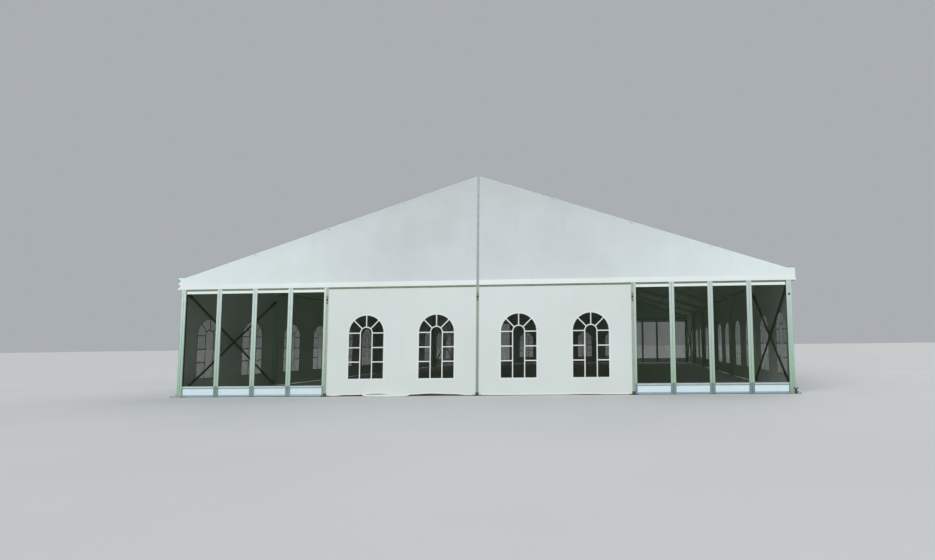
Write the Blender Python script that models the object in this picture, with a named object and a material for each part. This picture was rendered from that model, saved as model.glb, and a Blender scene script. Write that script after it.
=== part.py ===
"""A clear-span frame marquee, 20 m across the gable and six 5 m bays long.

Aluminium portal frames carry a white PVC roof. Each gable has two glazed corner bays and, between
them, two PVC walls with arched windows. The long sides are PVC walls with the same windows.
Metres, +Z up, +X across the gable, -Y the front. The origin is on the ground, under the middle.
"""

import math

import bmesh
import bpy
from mathutils import Euler, Matrix, Vector

# Overall size
SPAN_WIDTH = 20.0  # over the outer faces of the legs
BAY_LENGTH = 5.0  # from the middle of one frame to the middle of the next
BAY_COUNT = 6
GABLE_BAY_COUNT = 4
PITCH = math.radians(18.0)
EAVE_HEIGHT = 3.92  # of the roof line, over the outer face of a leg

# The gap that touching pieces keep
GAP = 0.0003

# Portal frames
LEG_DEPTH = 0.166  # across the gable
FRAME_WIDTH = 0.088  # along the tent
RAFTER_DEPTH = 0.166
BASE_LENGTH = 0.40
BASE_WIDTH = 0.30
BASE_THICK = 0.012
BASE_INSIDE = 0.07  # how far a base plate reaches in past its leg

# The eave, which stands out past the legs with a flat top
EAVE_OUT = 0.15
EAVE_FLAT_RISE = 0.045  # of the flat top over the eave height
EAVE_BEAM_HEIGHT = 0.13
EAVE_BEAM_WIDTH = 0.11

# Purlins between the frames
PURLIN_COUNT = 3  # on each slope, between the ridge beam and the eave beam
PURLIN_WIDTH = 0.06
PURLIN_DEPTH = 0.08
RIDGE_BEAM_WIDTH = 0.08
RIDGE_BEAM_DEPTH = 0.12

# Fabric
COVER_THICK = 0.004
FABRIC_THICK = 0.003
FILM_THICK = 0.0015
VALANCE_HEIGHT = 0.415  # from the flat eave down to the foot of the gable sheets and the valance
SKIRT_HEIGHT = 0.015  # of the foot of the walls over the ground
SHEET_EDGE = 0.020  # how far a gable sheet stays below the roof line

# Gable posts, the rail between them and the strip that joins the two gable sheets
POST_WIDTH = 0.088
POST_DEPTH = 0.166
POST_PROUD = 0.006  # in front of the frame
POST_BASE = 0.28
STRIP_WIDTH = 0.080
STRIP_PROUD = 0.012
RAIL_HEIGHT = 0.10
RAIL_LAP = 0.05  # how far the rail's foot lies above the foot of the gable sheets
RAIL_DEPTH = 0.08
RAIL_SET_BACK = 0.010

# How far the outer side of the walls lies inside the outer side of the posts and the legs
GABLE_WALL_SET_BACK = 0.005
SIDE_WALL_SET_BACK = 0.003

# Arched windows, two in each PVC wall
WINDOW_WIDTH = 1.15
WINDOW_HEIGHT = 2.05
WINDOW_SILL_HEIGHT = 0.56  # of an opening's foot over the ground
WINDOW_OFFSET = 1.16  # of a window's middle from its wall's middle
ARCH_STEPS = 20
FILM_MARGIN = 0.05

# Glazed bays
PANE_COUNT = 4
GLASS_THICK = 0.008
GLASS_FRAME_DEPTH = 0.045
GLASS_RAIL_DEPTH = 0.041
GLASS_RAIL_INSET = 0.002  # of the head and base rails from the ends of the uprights
MULLION_WIDTH = 0.160
CORNER_JAMB = 0.020
POST_JAMB = 0.066
HEAD_RAIL_HEIGHT = 0.20
SILL_RAIL_HEIGHT = 0.055
KICK_PANEL_HEIGHT = 0.215
BASE_RAIL_HEIGHT = 0.065
KICK_PANEL_THICK = 0.025
GLASS_LAP = 0.020  # of the glass behind its frame

# Crossed bracing in the end bays of the long sides
BRACE_RADIUS = 0.035
BRACE_SIDES = 12
BRACE_FOOT_HEIGHT = 0.16
BRACE_HEAD_DROP = 0.365  # of a bar's upper end below the eave beam
LUG_LENGTH = 0.12
LUG_HEIGHT = 0.14
LUG_THICK = 0.014

# Worked out from the sizes above
HALF_SPAN = SPAN_WIDTH / 2
LENGTH = BAY_COUNT * BAY_LENGTH
RIDGE_Z = EAVE_HEIGHT + HALF_SPAN * math.tan(PITCH)
EAVE_FLAT_Z = EAVE_HEIGHT + EAVE_FLAT_RISE
HEM_Z = EAVE_FLAT_Z - VALANCE_HEIGHT
END_FACE_Y = LENGTH / 2 + FRAME_WIDTH / 2
LEG_INNER_X = HALF_SPAN - LEG_DEPTH
EAVE_X = HALF_SPAN + EAVE_OUT
FLAT_START_X = HALF_SPAN - EAVE_FLAT_RISE / math.tan(PITCH)
EAVE_BEAM_Z = EAVE_FLAT_Z - EAVE_BEAM_HEIGHT
POST_SPACING = SPAN_WIDTH / GABLE_BAY_COUNT
RAIL_Z = HEM_Z + RAIL_LAP
WALL_TOP_Z = RAIL_Z - GAP
GLASS_HEAD_Z = RAIL_Z - HEAD_RAIL_HEIGHT
KICK_FOOT_Z = SKIRT_HEIGHT + BASE_RAIL_HEIGHT
KICK_HEAD_Z = KICK_FOOT_Z + KICK_PANEL_HEIGHT
GLASS_FOOT_Z = KICK_HEAD_Z + SILL_RAIL_HEIGHT
BRACE_HEAD_Z = EAVE_BEAM_Z - BRACE_HEAD_DROP
WALL_INWARD = GABLE_WALL_SET_BACK - POST_PROUD  # of a gable wall's outer side, from the frame's face

FACING_Y = Euler((math.pi / 2, 0, 0))  # an outline's x and y become X and Z
FACING_X = Euler((math.pi / 2, 0, math.pi / 2))  # an outline's x and y become Y and Z

MATERIALS = {
    "aluminium": ((0.62, 0.65, 0.64), 0.38, 0.9),
    "roof_fabric": ((0.86, 0.87, 0.87), 0.55, 0.0),
    "wall_fabric": ((0.80, 0.82, 0.82), 0.50, 0.0),
    "window_film": ((0.20, 0.24, 0.23), 0.08, 0.0),
    "glass": ((0.16, 0.20, 0.18), 0.03, 0.0),
    "brace_steel": ((0.12, 0.13, 0.13), 0.45, 0.7),
}


def clear_scene():
    for obj in list(bpy.data.objects):
        bpy.data.objects.remove(obj, do_unlink=True)


def make_collection(name):
    collection = bpy.data.collections.new(name)
    bpy.context.scene.collection.children.link(collection)
    return collection


def make_material(name):
    colour, roughness, metallic = MATERIALS[name]
    material = bpy.data.materials.new(name)
    material.use_nodes = True
    shader = material.node_tree.nodes["Principled BSDF"]
    shader.inputs["Base Color"].default_value = (*colour, 1.0)
    shader.inputs["Roughness"].default_value = roughness
    shader.inputs["Metallic"].default_value = metallic
    material.diffuse_color = (*colour, 1.0)
    return material


clear_scene()
PARTS = make_collection("frame_marquee")
TOOLS = make_collection("joining_shapes")
MATERIAL = {name: make_material(name) for name in MATERIALS}


def add_object(name, data, material=None, collection=PARTS):
    obj = bpy.data.objects.new(name, data)
    collection.objects.link(obj)
    if material:
        data.materials.append(MATERIAL[material])
    return obj


def roof_z(x):
    """Height of the roof line at a distance x from the ridge, without the flat eave."""
    return EAVE_HEIGHT + (HALF_SPAN - abs(x)) * math.tan(PITCH)


def rafter_under_z(x):
    return roof_z(x) - RAFTER_DEPTH / math.cos(PITCH)


def frame_y(index):
    return -LENGTH / 2 + index * BAY_LENGTH


def block(name, low, high, material=None, collection=PARTS):
    """A box between two corners, placed by its middle."""
    low, high = Vector(low), Vector(high)
    mesh = bpy.data.meshes.new(name)
    shape = bmesh.new()
    bmesh.ops.create_cube(shape, size=1.0, matrix=Matrix.Diagonal((*(high - low), 1.0)))
    shape.to_mesh(mesh)
    shape.free()
    obj = add_object(name, mesh, material, collection)
    obj.location = (low + high) / 2
    return obj


def plate(name, loops, thick, facing, location, material=None, collection=PARTS):
    """A flat outline, with further loops as holes in it, standing up and this thick about its location."""
    curve = bpy.data.curves.new(name, "CURVE")
    curve.dimensions = "2D"
    curve.fill_mode = "BOTH"
    curve.extrude = thick / 2
    for loop in loops:
        spline = curve.splines.new("POLY")
        spline.points.add(len(loop) - 1)
        spline.use_cyclic_u = True
        for point, (across, up) in zip(spline.points, loop):
            point.co = (across, up, 0.0, 1.0)
    obj = add_object(name, curve, material, collection)
    obj.rotation_euler = facing
    obj.location = location
    return obj


def as_mesh(obj):
    """Replaces a curve object by a welded mesh of the same name, place and material."""
    bpy.context.view_layer.update()
    graph = bpy.context.evaluated_depsgraph_get()
    mesh = bpy.data.meshes.new_from_object(obj.evaluated_get(graph))
    shape = bmesh.new()
    shape.from_mesh(mesh)
    bmesh.ops.remove_doubles(shape, verts=shape.verts, dist=1e-5)
    shape.to_mesh(mesh)
    shape.free()
    name, matrix, collection = obj.name, obj.matrix_world.copy(), obj.users_collection[0]
    bpy.data.objects.remove(obj, do_unlink=True)
    made = bpy.data.objects.new(name, mesh)
    collection.objects.link(made)
    made.matrix_world = matrix
    return made


def rod(name, start, end, radius, sides, collection=TOOLS):
    """A straight round bar from start to end."""
    start, end = Vector(start), Vector(end)
    mesh = bpy.data.meshes.new(name)
    shape = bmesh.new()
    bmesh.ops.create_cone(
        shape, cap_ends=True, segments=sides, radius1=radius, radius2=radius, depth=(end - start).length
    )
    shape.to_mesh(mesh)
    shape.free()
    obj = add_object(name, mesh, None, collection)
    obj.location = (start + end) / 2
    obj.rotation_euler = (end - start).to_track_quat("Z", "X").to_euler()
    return obj


def fuse(base, others):
    """Joins the other shapes to the base with Boolean unions, and hides them."""
    for other in others:
        other.hide_render = True
        other.display_type = "WIRE"
        join = base.modifiers.new("join_" + other.name, "BOOLEAN")
        join.operation = "UNION"
        join.solver = "EXACT"
        join.object = other
    return base


def mirrored(points):
    """The points' mirror images across the middle, in the opposite order."""
    return [(-x, z) for x, z in reversed(points)]


def portal_outline():
    """Two legs and two rafters as one outline, from the outer foot of the right leg."""
    outer = [
        (HALF_SPAN, BASE_THICK / 2),
        (HALF_SPAN, EAVE_BEAM_Z),
        (EAVE_X, EAVE_BEAM_Z),
        (EAVE_X, EAVE_FLAT_Z),
        (FLAT_START_X, EAVE_FLAT_Z),
    ]
    inner = [
        (LEG_INNER_X, rafter_under_z(LEG_INNER_X)),
        (LEG_INNER_X, BASE_THICK / 2),
    ]
    outer_ridge = [(0.0, RIDGE_Z)]
    inner_ridge = [(0.0, rafter_under_z(0.0))]
    return outer + outer_ridge + mirrored(outer) + mirrored(inner) + inner_ridge + inner


def purlin(name, x, y_start, y_end):
    """A beam under the roof cover at a distance x from the ridge, turned to the slope."""
    length = y_end - y_start
    if x == 0.0:
        top = RIDGE_Z - COVER_THICK / math.cos(PITCH) - GAP - RIDGE_BEAM_WIDTH / 2 * math.tan(PITCH)
        return block(
            name,
            (-RIDGE_BEAM_WIDTH / 2, y_start, top - RIDGE_BEAM_DEPTH),
            (RIDGE_BEAM_WIDTH / 2, y_end, top),
            None,
            TOOLS,
        )
    obj = block(
        name,
        (-PURLIN_WIDTH / 2, -length / 2, -PURLIN_DEPTH / 2),
        (PURLIN_WIDTH / 2, length / 2, PURLIN_DEPTH / 2),
        None,
        TOOLS,
    )
    side = math.copysign(1.0, x)
    down = COVER_THICK + GAP + PURLIN_DEPTH / 2
    obj.rotation_euler = (0, side * PITCH, 0)
    obj.location = (
        x - side * down * math.sin(PITCH),
        (y_start + y_end) / 2,
        roof_z(x) - down * math.cos(PITCH),
    )
    return obj


def eave_beam(name, side, y_start, y_end):
    outer = EAVE_X - COVER_THICK - GAP
    inner = outer - EAVE_BEAM_WIDTH
    low_x, high_x = sorted((side * outer, side * inner))
    top = EAVE_FLAT_Z - COVER_THICK - GAP
    return block(name, (low_x, y_start, EAVE_BEAM_Z), (high_x, y_end, top), None, TOOLS)


def make_frame(index):
    """A portal frame on its base plates, with the purlins that it carries as far as the next frame."""
    name = f"frame_{index + 1}"
    y = frame_y(index)
    frame = as_mesh(
        plate(name, [portal_outline()], FRAME_WIDTH, FACING_Y, (0, y, 0), "aluminium")
    )
    joined = []
    for side in (-1, 1):
        base_inner = LEG_INNER_X - BASE_INSIDE
        low_x, high_x = sorted((side * base_inner, side * (base_inner + BASE_LENGTH)))
        joined.append(
            block(
                f"{name}_base_{side}",
                (low_x, y - BASE_WIDTH / 2, 0.0),
                (high_x, y + BASE_WIDTH / 2, BASE_THICK),
                None,
                TOOLS,
            )
        )
    if index < BAY_COUNT:
        y_end = frame_y(index + 1) - FRAME_WIDTH / 2 - GAP
        steps = PURLIN_COUNT + 1
        for step in range(-PURLIN_COUNT, steps):
            x = step * HALF_SPAN / steps
            joined.append(purlin(f"{name}_purlin_{step}", x, y, y_end))
        for side in (-1, 1):
            joined.append(eave_beam(f"{name}_eave_beam_{side}", side, y, y_end))
    return fuse(frame, joined)


def make_roof_cover(index):
    """The roof sheet of one bay: over the ridge, along the flat eaves and down as valances."""
    bend = COVER_THICK * math.tan(PITCH / 2)
    outer = [
        (EAVE_X, HEM_Z),
        (EAVE_X, EAVE_FLAT_Z),
        (FLAT_START_X, EAVE_FLAT_Z),
    ]
    inner = [
        (FLAT_START_X - bend, EAVE_FLAT_Z - COVER_THICK),
        (EAVE_X - COVER_THICK, EAVE_FLAT_Z - COVER_THICK),
        (EAVE_X - COVER_THICK, HEM_Z),
    ]
    outer_ridge = [(0.0, RIDGE_Z)]
    inner_ridge = [(0.0, RIDGE_Z - COVER_THICK / math.cos(PITCH))]
    loop = outer + outer_ridge + mirrored(outer) + mirrored(inner) + inner_ridge + inner
    width = BAY_LENGTH - FRAME_WIDTH - 2 * GAP
    middle = frame_y(index) + BAY_LENGTH / 2
    return plate(f"roof_cover_{index + 1}", [loop], width, FACING_Y, (0, middle, 0), "roof_fabric")


def end_y(side, inward):
    """The Y of a plane this far inside the outer face of an end frame; side is -1 at the front."""
    return side * (END_FACE_Y - inward)


def between_y(side, inward_from, inward_to):
    return sorted((end_y(side, inward_from), end_y(side, inward_to)))


def make_gable_frame(end, side):
    """The posts of one gable, with the rail between them and the strip that joins the gable sheets."""
    name = f"{end}_gable_posts"
    rail_low_y, rail_high_y = between_y(side, RAIL_SET_BACK, RAIL_SET_BACK + RAIL_DEPTH)
    reach = LEG_INNER_X - GAP
    rail = block(
        name,
        (-reach, rail_low_y, RAIL_Z),
        (reach, rail_high_y, RAIL_Z + RAIL_HEIGHT),
        "aluminium",
    )
    joined = []
    low_y, high_y = between_y(side, -POST_PROUD, POST_DEPTH - POST_PROUD)
    for number in range(1, GABLE_BAY_COUNT):
        x = -HALF_SPAN + number * POST_SPACING
        top = rafter_under_z(abs(x) + POST_WIDTH / 2) - GAP
        joined.append(
            block(
                f"{name}_post_{number}",
                (x - POST_WIDTH / 2, low_y, BASE_THICK / 2),
                (x + POST_WIDTH / 2, high_y, top),
                None,
                TOOLS,
            )
        )
        middle_y = (low_y + high_y) / 2
        joined.append(
            block(
                f"{name}_base_{number}",
                (x - POST_BASE / 2, middle_y - POST_BASE / 2, 0.0),
                (x + POST_BASE / 2, middle_y + POST_BASE / 2, BASE_THICK),
                None,
                TOOLS,
            )
        )
    strip_low_y, strip_high_y = between_y(side, -STRIP_PROUD, -GAP)
    strip_top = roof_z(STRIP_WIDTH / 2) - SHEET_EDGE / 2
    joined.append(
        block(
            f"{name}_strip",
            (-STRIP_WIDTH / 2, strip_low_y, RAIL_Z),
            (STRIP_WIDTH / 2, strip_high_y, strip_top),
            None,
            TOOLS,
        )
    )
    return fuse(rail, joined)


def make_gable_sheet(end, side, hand):
    """Half of a gable's upper sheet, from the middle strip out to the eave; hand is -1 on the left."""
    where = "left" if hand < 0 else "right"
    near = STRIP_WIDTH / 2 + GAP
    loop = [
        (hand * near, HEM_Z),
        (hand * EAVE_X, HEM_Z),
        (hand * EAVE_X, EAVE_FLAT_Z - SHEET_EDGE),
        (hand * FLAT_START_X, EAVE_FLAT_Z - SHEET_EDGE),
        (hand * near, roof_z(near) - SHEET_EDGE),
    ]
    inward = -POST_PROUD - GAP - FABRIC_THICK / 2
    return plate(
        f"{end}_gable_sheet_{where}",
        [loop],
        FABRIC_THICK,
        FACING_Y,
        (0, end_y(side, inward), 0),
        "wall_fabric",
    )


def window_outline(middle):
    """An upright opening with a round head, about this middle."""
    radius = WINDOW_WIDTH / 2
    spring_z = WINDOW_SILL_HEIGHT + WINDOW_HEIGHT - radius
    points = [(middle - radius, WINDOW_SILL_HEIGHT), (middle + radius, WINDOW_SILL_HEIGHT)]
    for step in range(ARCH_STEPS + 1):
        angle = math.pi * step / ARCH_STEPS
        points.append((middle + radius * math.cos(angle), spring_z + radius * math.sin(angle)))
    return points


def wall_loops(low, high, top):
    """A wall from one end to the other and up to its top, with two arched windows in it."""
    middle = (low + high) / 2
    wall = [(low, SKIRT_HEIGHT), (high, SKIRT_HEIGHT), (high, top), (low, top)]
    return [wall] + [window_outline(middle + offset) for offset in (-WINDOW_OFFSET, WINDOW_OFFSET)]


def film_loop(low, high):
    """A sheet of clear film that covers the windows between two ends of a wall."""
    foot = WINDOW_SILL_HEIGHT - FILM_MARGIN
    head = WINDOW_SILL_HEIGHT + WINDOW_HEIGHT + FILM_MARGIN
    return [(low, foot), (high, foot), (high, head), (low, head)]


def make_gable_wall(end, side, hand):
    """A PVC wall beside the middle post, and the clear film behind its windows."""
    where = "left" if hand < 0 else "right"
    inner = POST_WIDTH / 2 + GAP
    outer = POST_SPACING - POST_WIDTH / 2 - GAP
    low, high = sorted((hand * inner, hand * outer))
    plate(
        f"{end}_wall_{where}",
        wall_loops(low, high, WALL_TOP_Z),
        FABRIC_THICK,
        FACING_Y,
        (0, end_y(side, WALL_INWARD + FABRIC_THICK / 2), 0),
        "wall_fabric",
    )
    middle = (low + high) / 2
    reach = WINDOW_OFFSET + WINDOW_WIDTH / 2 + FILM_MARGIN
    film_inward = WALL_INWARD + FABRIC_THICK + GAP + FILM_THICK / 2
    plate(
        f"{end}_window_film_{where}",
        [film_loop(middle - reach, middle + reach)],
        FILM_THICK,
        FACING_Y,
        (0, end_y(side, film_inward), 0),
        "window_film",
    )


def make_glass_wall(end, side, hand):
    """A glazed corner bay: one frame with four lights, and one sheet of glass behind it."""
    where = "left" if hand < 0 else "right"
    name = f"{end}_glass_frame_{where}"
    outer = LEG_INNER_X - GAP
    inner = HALF_SPAN - POST_SPACING + POST_WIDTH / 2 + GAP
    first = inner + POST_JAMB
    last = outer - CORNER_JAMB
    pane = (last - first - (PANE_COUNT - 1) * MULLION_WIDTH) / PANE_COUNT
    joined = []

    def member(part, x_from, x_to, z_from, z_to, thick):
        """An upright or a rail of this thickness, in the middle of the frame's depth."""
        inward = WALL_INWARD + (GLASS_FRAME_DEPTH - thick) / 2
        low_x, high_x = sorted((hand * x_from, hand * x_to))
        low_y, high_y = between_y(side, inward, inward + thick)
        low = (low_x, low_y, z_from)
        high = (high_x, high_y, z_to)
        joined.append(block(f"{name}_{part}", low, high, None, TOOLS))

    uprights = [("corner_jamb", last, outer)]
    for number in range(1, PANE_COUNT):
        light = first + number * (pane + MULLION_WIDTH)
        uprights.append((f"mullion_{number}", light - MULLION_WIDTH, light))
    for part, x_from, x_to in uprights:
        member(part, x_from, x_to, SKIRT_HEIGHT, WALL_TOP_Z, GLASS_FRAME_DEPTH)
    rail_start = inner + POST_JAMB / 2
    rail_end = outer - CORNER_JAMB / 2
    panel_foot = KICK_FOOT_Z - BASE_RAIL_HEIGHT / 2
    panel_head = KICK_HEAD_Z + SILL_RAIL_HEIGHT / 2
    for part, foot, head, thick in (
        ("head_rail", GLASS_HEAD_Z, WALL_TOP_Z - GLASS_RAIL_INSET, GLASS_RAIL_DEPTH),
        ("sill_rail", KICK_HEAD_Z, GLASS_FOOT_Z, GLASS_RAIL_DEPTH),
        ("base_rail", SKIRT_HEIGHT + GLASS_RAIL_INSET, KICK_FOOT_Z, GLASS_RAIL_DEPTH),
        ("kick_panel", panel_foot, panel_head, KICK_PANEL_THICK),
    ):
        member(part, rail_start, rail_end, foot, head, thick)
    low_x, high_x = sorted((hand * inner, hand * first))
    low_y, high_y = between_y(side, WALL_INWARD, WALL_INWARD + GLASS_FRAME_DEPTH)
    post_jamb = block(name, (low_x, low_y, SKIRT_HEIGHT), (high_x, high_y, WALL_TOP_Z), "aluminium")
    fuse(post_jamb, joined)
    glass_inward = WALL_INWARD + GLASS_FRAME_DEPTH + GAP
    low_y, high_y = between_y(side, glass_inward, glass_inward + GLASS_THICK)
    low_x, high_x = sorted((hand * (first - GLASS_LAP), hand * rail_end))
    block(
        f"{end}_glass_{where}",
        (low_x, low_y, GLASS_FOOT_Z - GLASS_LAP),
        (high_x, high_y, GLASS_HEAD_Z + GLASS_LAP),
        "glass",
    )


def make_side_wall(hand, index):
    """The PVC wall of one bay of a long side, between the legs of two frames."""
    where = "left" if hand < 0 else "right"
    low = frame_y(index) + FRAME_WIDTH / 2 + GAP
    high = frame_y(index + 1) - FRAME_WIDTH / 2 - GAP
    x = hand * (HALF_SPAN - SIDE_WALL_SET_BACK - FABRIC_THICK / 2)
    return plate(
        f"{where}_wall_{index + 1}",
        wall_loops(low, high, EAVE_BEAM_Z - GAP),
        FABRIC_THICK,
        FACING_X,
        (x, 0, 0),
        "wall_fabric",
    )


def make_side_film(hand):
    """One clear sheet along the outer faces of the legs, over all the windows of a long side."""
    where = "left" if hand < 0 else "right"
    reach = LENGTH / 2
    x = hand * (HALF_SPAN + GAP + FILM_THICK / 2)
    return plate(
        f"{where}_window_film",
        [film_loop(-reach, reach)],
        FILM_THICK,
        FACING_X,
        (x, 0, 0),
        "window_film",
    )


def make_bracing(end, side, hand):
    """Two crossed bars between the end frame and the next, with a lug on the leg at each end."""
    where = "left" if hand < 0 else "right"
    name = f"{end}_brace_{where}"
    x = hand * (HALF_SPAN - LEG_DEPTH / 2)
    near = side * (LENGTH / 2 - FRAME_WIDTH / 2 - GAP)
    far = side * (LENGTH / 2 - BAY_LENGTH + FRAME_WIDTH / 2 + GAP)
    inward = -side * LUG_LENGTH
    bars, lugs = [], []
    for foot_y, head_y, foot_in, head_in in (
        (near, far, inward, -inward),
        (far, near, -inward, inward),
    ):
        start = (x, foot_y + foot_in / 2, BRACE_FOOT_HEIGHT)
        end_point = (x, head_y + head_in / 2, BRACE_HEAD_Z)
        bars.append((start, end_point))
        for y, step, z in ((foot_y, foot_in, BRACE_FOOT_HEIGHT), (head_y, head_in, BRACE_HEAD_Z)):
            low_y, high_y = sorted((y, y + step))
            lugs.append(((x, low_y, z), (x, high_y, z)))
    brace = rod(name, *bars[0], BRACE_RADIUS, BRACE_SIDES, PARTS)
    brace.data.materials.append(MATERIAL["brace_steel"])
    joined = [rod(f"{name}_bar", *bars[1], BRACE_RADIUS, BRACE_SIDES)]
    half = Vector((LUG_THICK / 2, 0.0, LUG_HEIGHT / 2))
    for number, (low, high) in enumerate(lugs):
        joined.append(block(f"{name}_lug_{number}", Vector(low) - half, Vector(high) + half, None, TOOLS))
    return fuse(brace, joined)


def main():
    for index in range(BAY_COUNT + 1):
        make_frame(index)
    for index in range(BAY_COUNT):
        make_roof_cover(index)
    for end, side in (("front", -1), ("rear", 1)):
        make_gable_frame(end, side)
        for hand in (-1, 1):
            make_gable_sheet(end, side, hand)
            make_gable_wall(end, side, hand)
            make_glass_wall(end, side, hand)
            make_bracing(end, side, hand)
    for hand in (-1, 1):
        for index in range(BAY_COUNT):
            make_side_wall(hand, index)
        make_side_film(hand)


main()
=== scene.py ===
"""The looks of a clear-span frame marquee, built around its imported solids.

Grooved aluminium sections, fabric with slack, seams and hems, arched film windows, glazed corner
bays and ground fixings, on a plain pale floor. Metres, +Z up, +X across the gable, -Y the front.
"""

import math
import random

import bmesh
import bpy
import numpy as np
from mathutils import Matrix, Vector
from mathutils.geometry import delaunay_2d_cdt


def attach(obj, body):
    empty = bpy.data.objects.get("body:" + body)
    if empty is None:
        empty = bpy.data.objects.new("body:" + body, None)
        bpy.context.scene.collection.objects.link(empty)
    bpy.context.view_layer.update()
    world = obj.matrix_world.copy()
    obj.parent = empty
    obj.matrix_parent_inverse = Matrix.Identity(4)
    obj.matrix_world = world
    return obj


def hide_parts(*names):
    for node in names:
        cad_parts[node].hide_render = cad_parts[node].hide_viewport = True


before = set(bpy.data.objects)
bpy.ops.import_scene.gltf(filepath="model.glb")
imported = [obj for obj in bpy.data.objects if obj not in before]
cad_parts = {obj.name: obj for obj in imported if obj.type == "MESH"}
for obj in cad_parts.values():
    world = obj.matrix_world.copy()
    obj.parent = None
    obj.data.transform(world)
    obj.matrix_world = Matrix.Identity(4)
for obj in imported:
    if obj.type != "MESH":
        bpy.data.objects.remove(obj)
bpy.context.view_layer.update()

# The part's own sizes
HALF_SPAN = 10.0
BAY_LENGTH = 5.0
BAY_COUNT = 6
HALF_LENGTH = BAY_COUNT * BAY_LENGTH / 2
POST_SPACING = 5.0
PITCH = math.radians(18.0)
EAVE_HEIGHT = 3.92
RIDGE_Z = EAVE_HEIGHT + HALF_SPAN * math.tan(PITCH)
EAVE_X = 10.15
EAVE_FLAT_Z = 3.965
FLAT_START_X = HALF_SPAN - (EAVE_FLAT_Z - EAVE_HEIGHT) / math.tan(PITCH)
HEM_Z = 3.55
LEG_DEPTH = 0.166
FRAME_WIDTH = 0.088
LEG_INNER_X = HALF_SPAN - LEG_DEPTH
LEG_MIDDLE_X = (HALF_SPAN + LEG_INNER_X) / 2
BASE_THICK = 0.012
BASE_HALF_LENGTH = 0.20
BASE_HALF_WIDTH = 0.15
BASE_MIDDLE_X = LEG_INNER_X - 0.07 + BASE_HALF_LENGTH
POST_BASE_HALF = 0.14
EAVE_BEAM_Z = 3.835
EAVE_BEAM_WIDTH = 0.11
PURLIN_COUNT = 3
PURLIN_SPACING = HALF_SPAN / (PURLIN_COUNT + 1)
RAIL_Z = 3.60
RAIL_HEIGHT = 0.10
POST_FACE_Y = 15.050
END_FACE_Y = 15.044
STRIP_WIDTH = 0.080
SKIRT_Z = 0.015
WINDOW_WIDTH = 1.15
WINDOW_HEIGHT = 2.05
WINDOW_SILL_Z = 0.56
WINDOW_OFFSET = 1.16

# How thick the fabric shows, and how its layers lie on each other
SHEET_THICK = 0.0016
PATCH_THICK = 0.0012
FILM_THICK = 0.0006
PATCH_OUT = 0.0016
FILM_OUT = -0.0013
WALL_MIDDLE_Y = 15.0435
SIDE_WALL_MIDDLE_X = 9.9955
KEDER_REACH = 0.005  # how far a sheet's edge goes into the groove of its frame
BAND_GAP = 0.002  # from a sheet's edge to a band laid along it

ALONG_X = Vector((1, 0, 0))
ALONG_Y = Vector((0, 1, 0))
UP = Vector((0, 0, 1))
FRONT, REAR, LEFT, RIGHT = -1, 1, -1, 1
ENDS = (("front", FRONT), ("rear", REAR))
HANDS = (("left", LEFT), ("right", RIGHT))


# Materials

THREADS_PER_METRE = 140.0
SOIL_HEIGHT = 0.45  # how far up a wall the ground's dirt reaches


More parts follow.
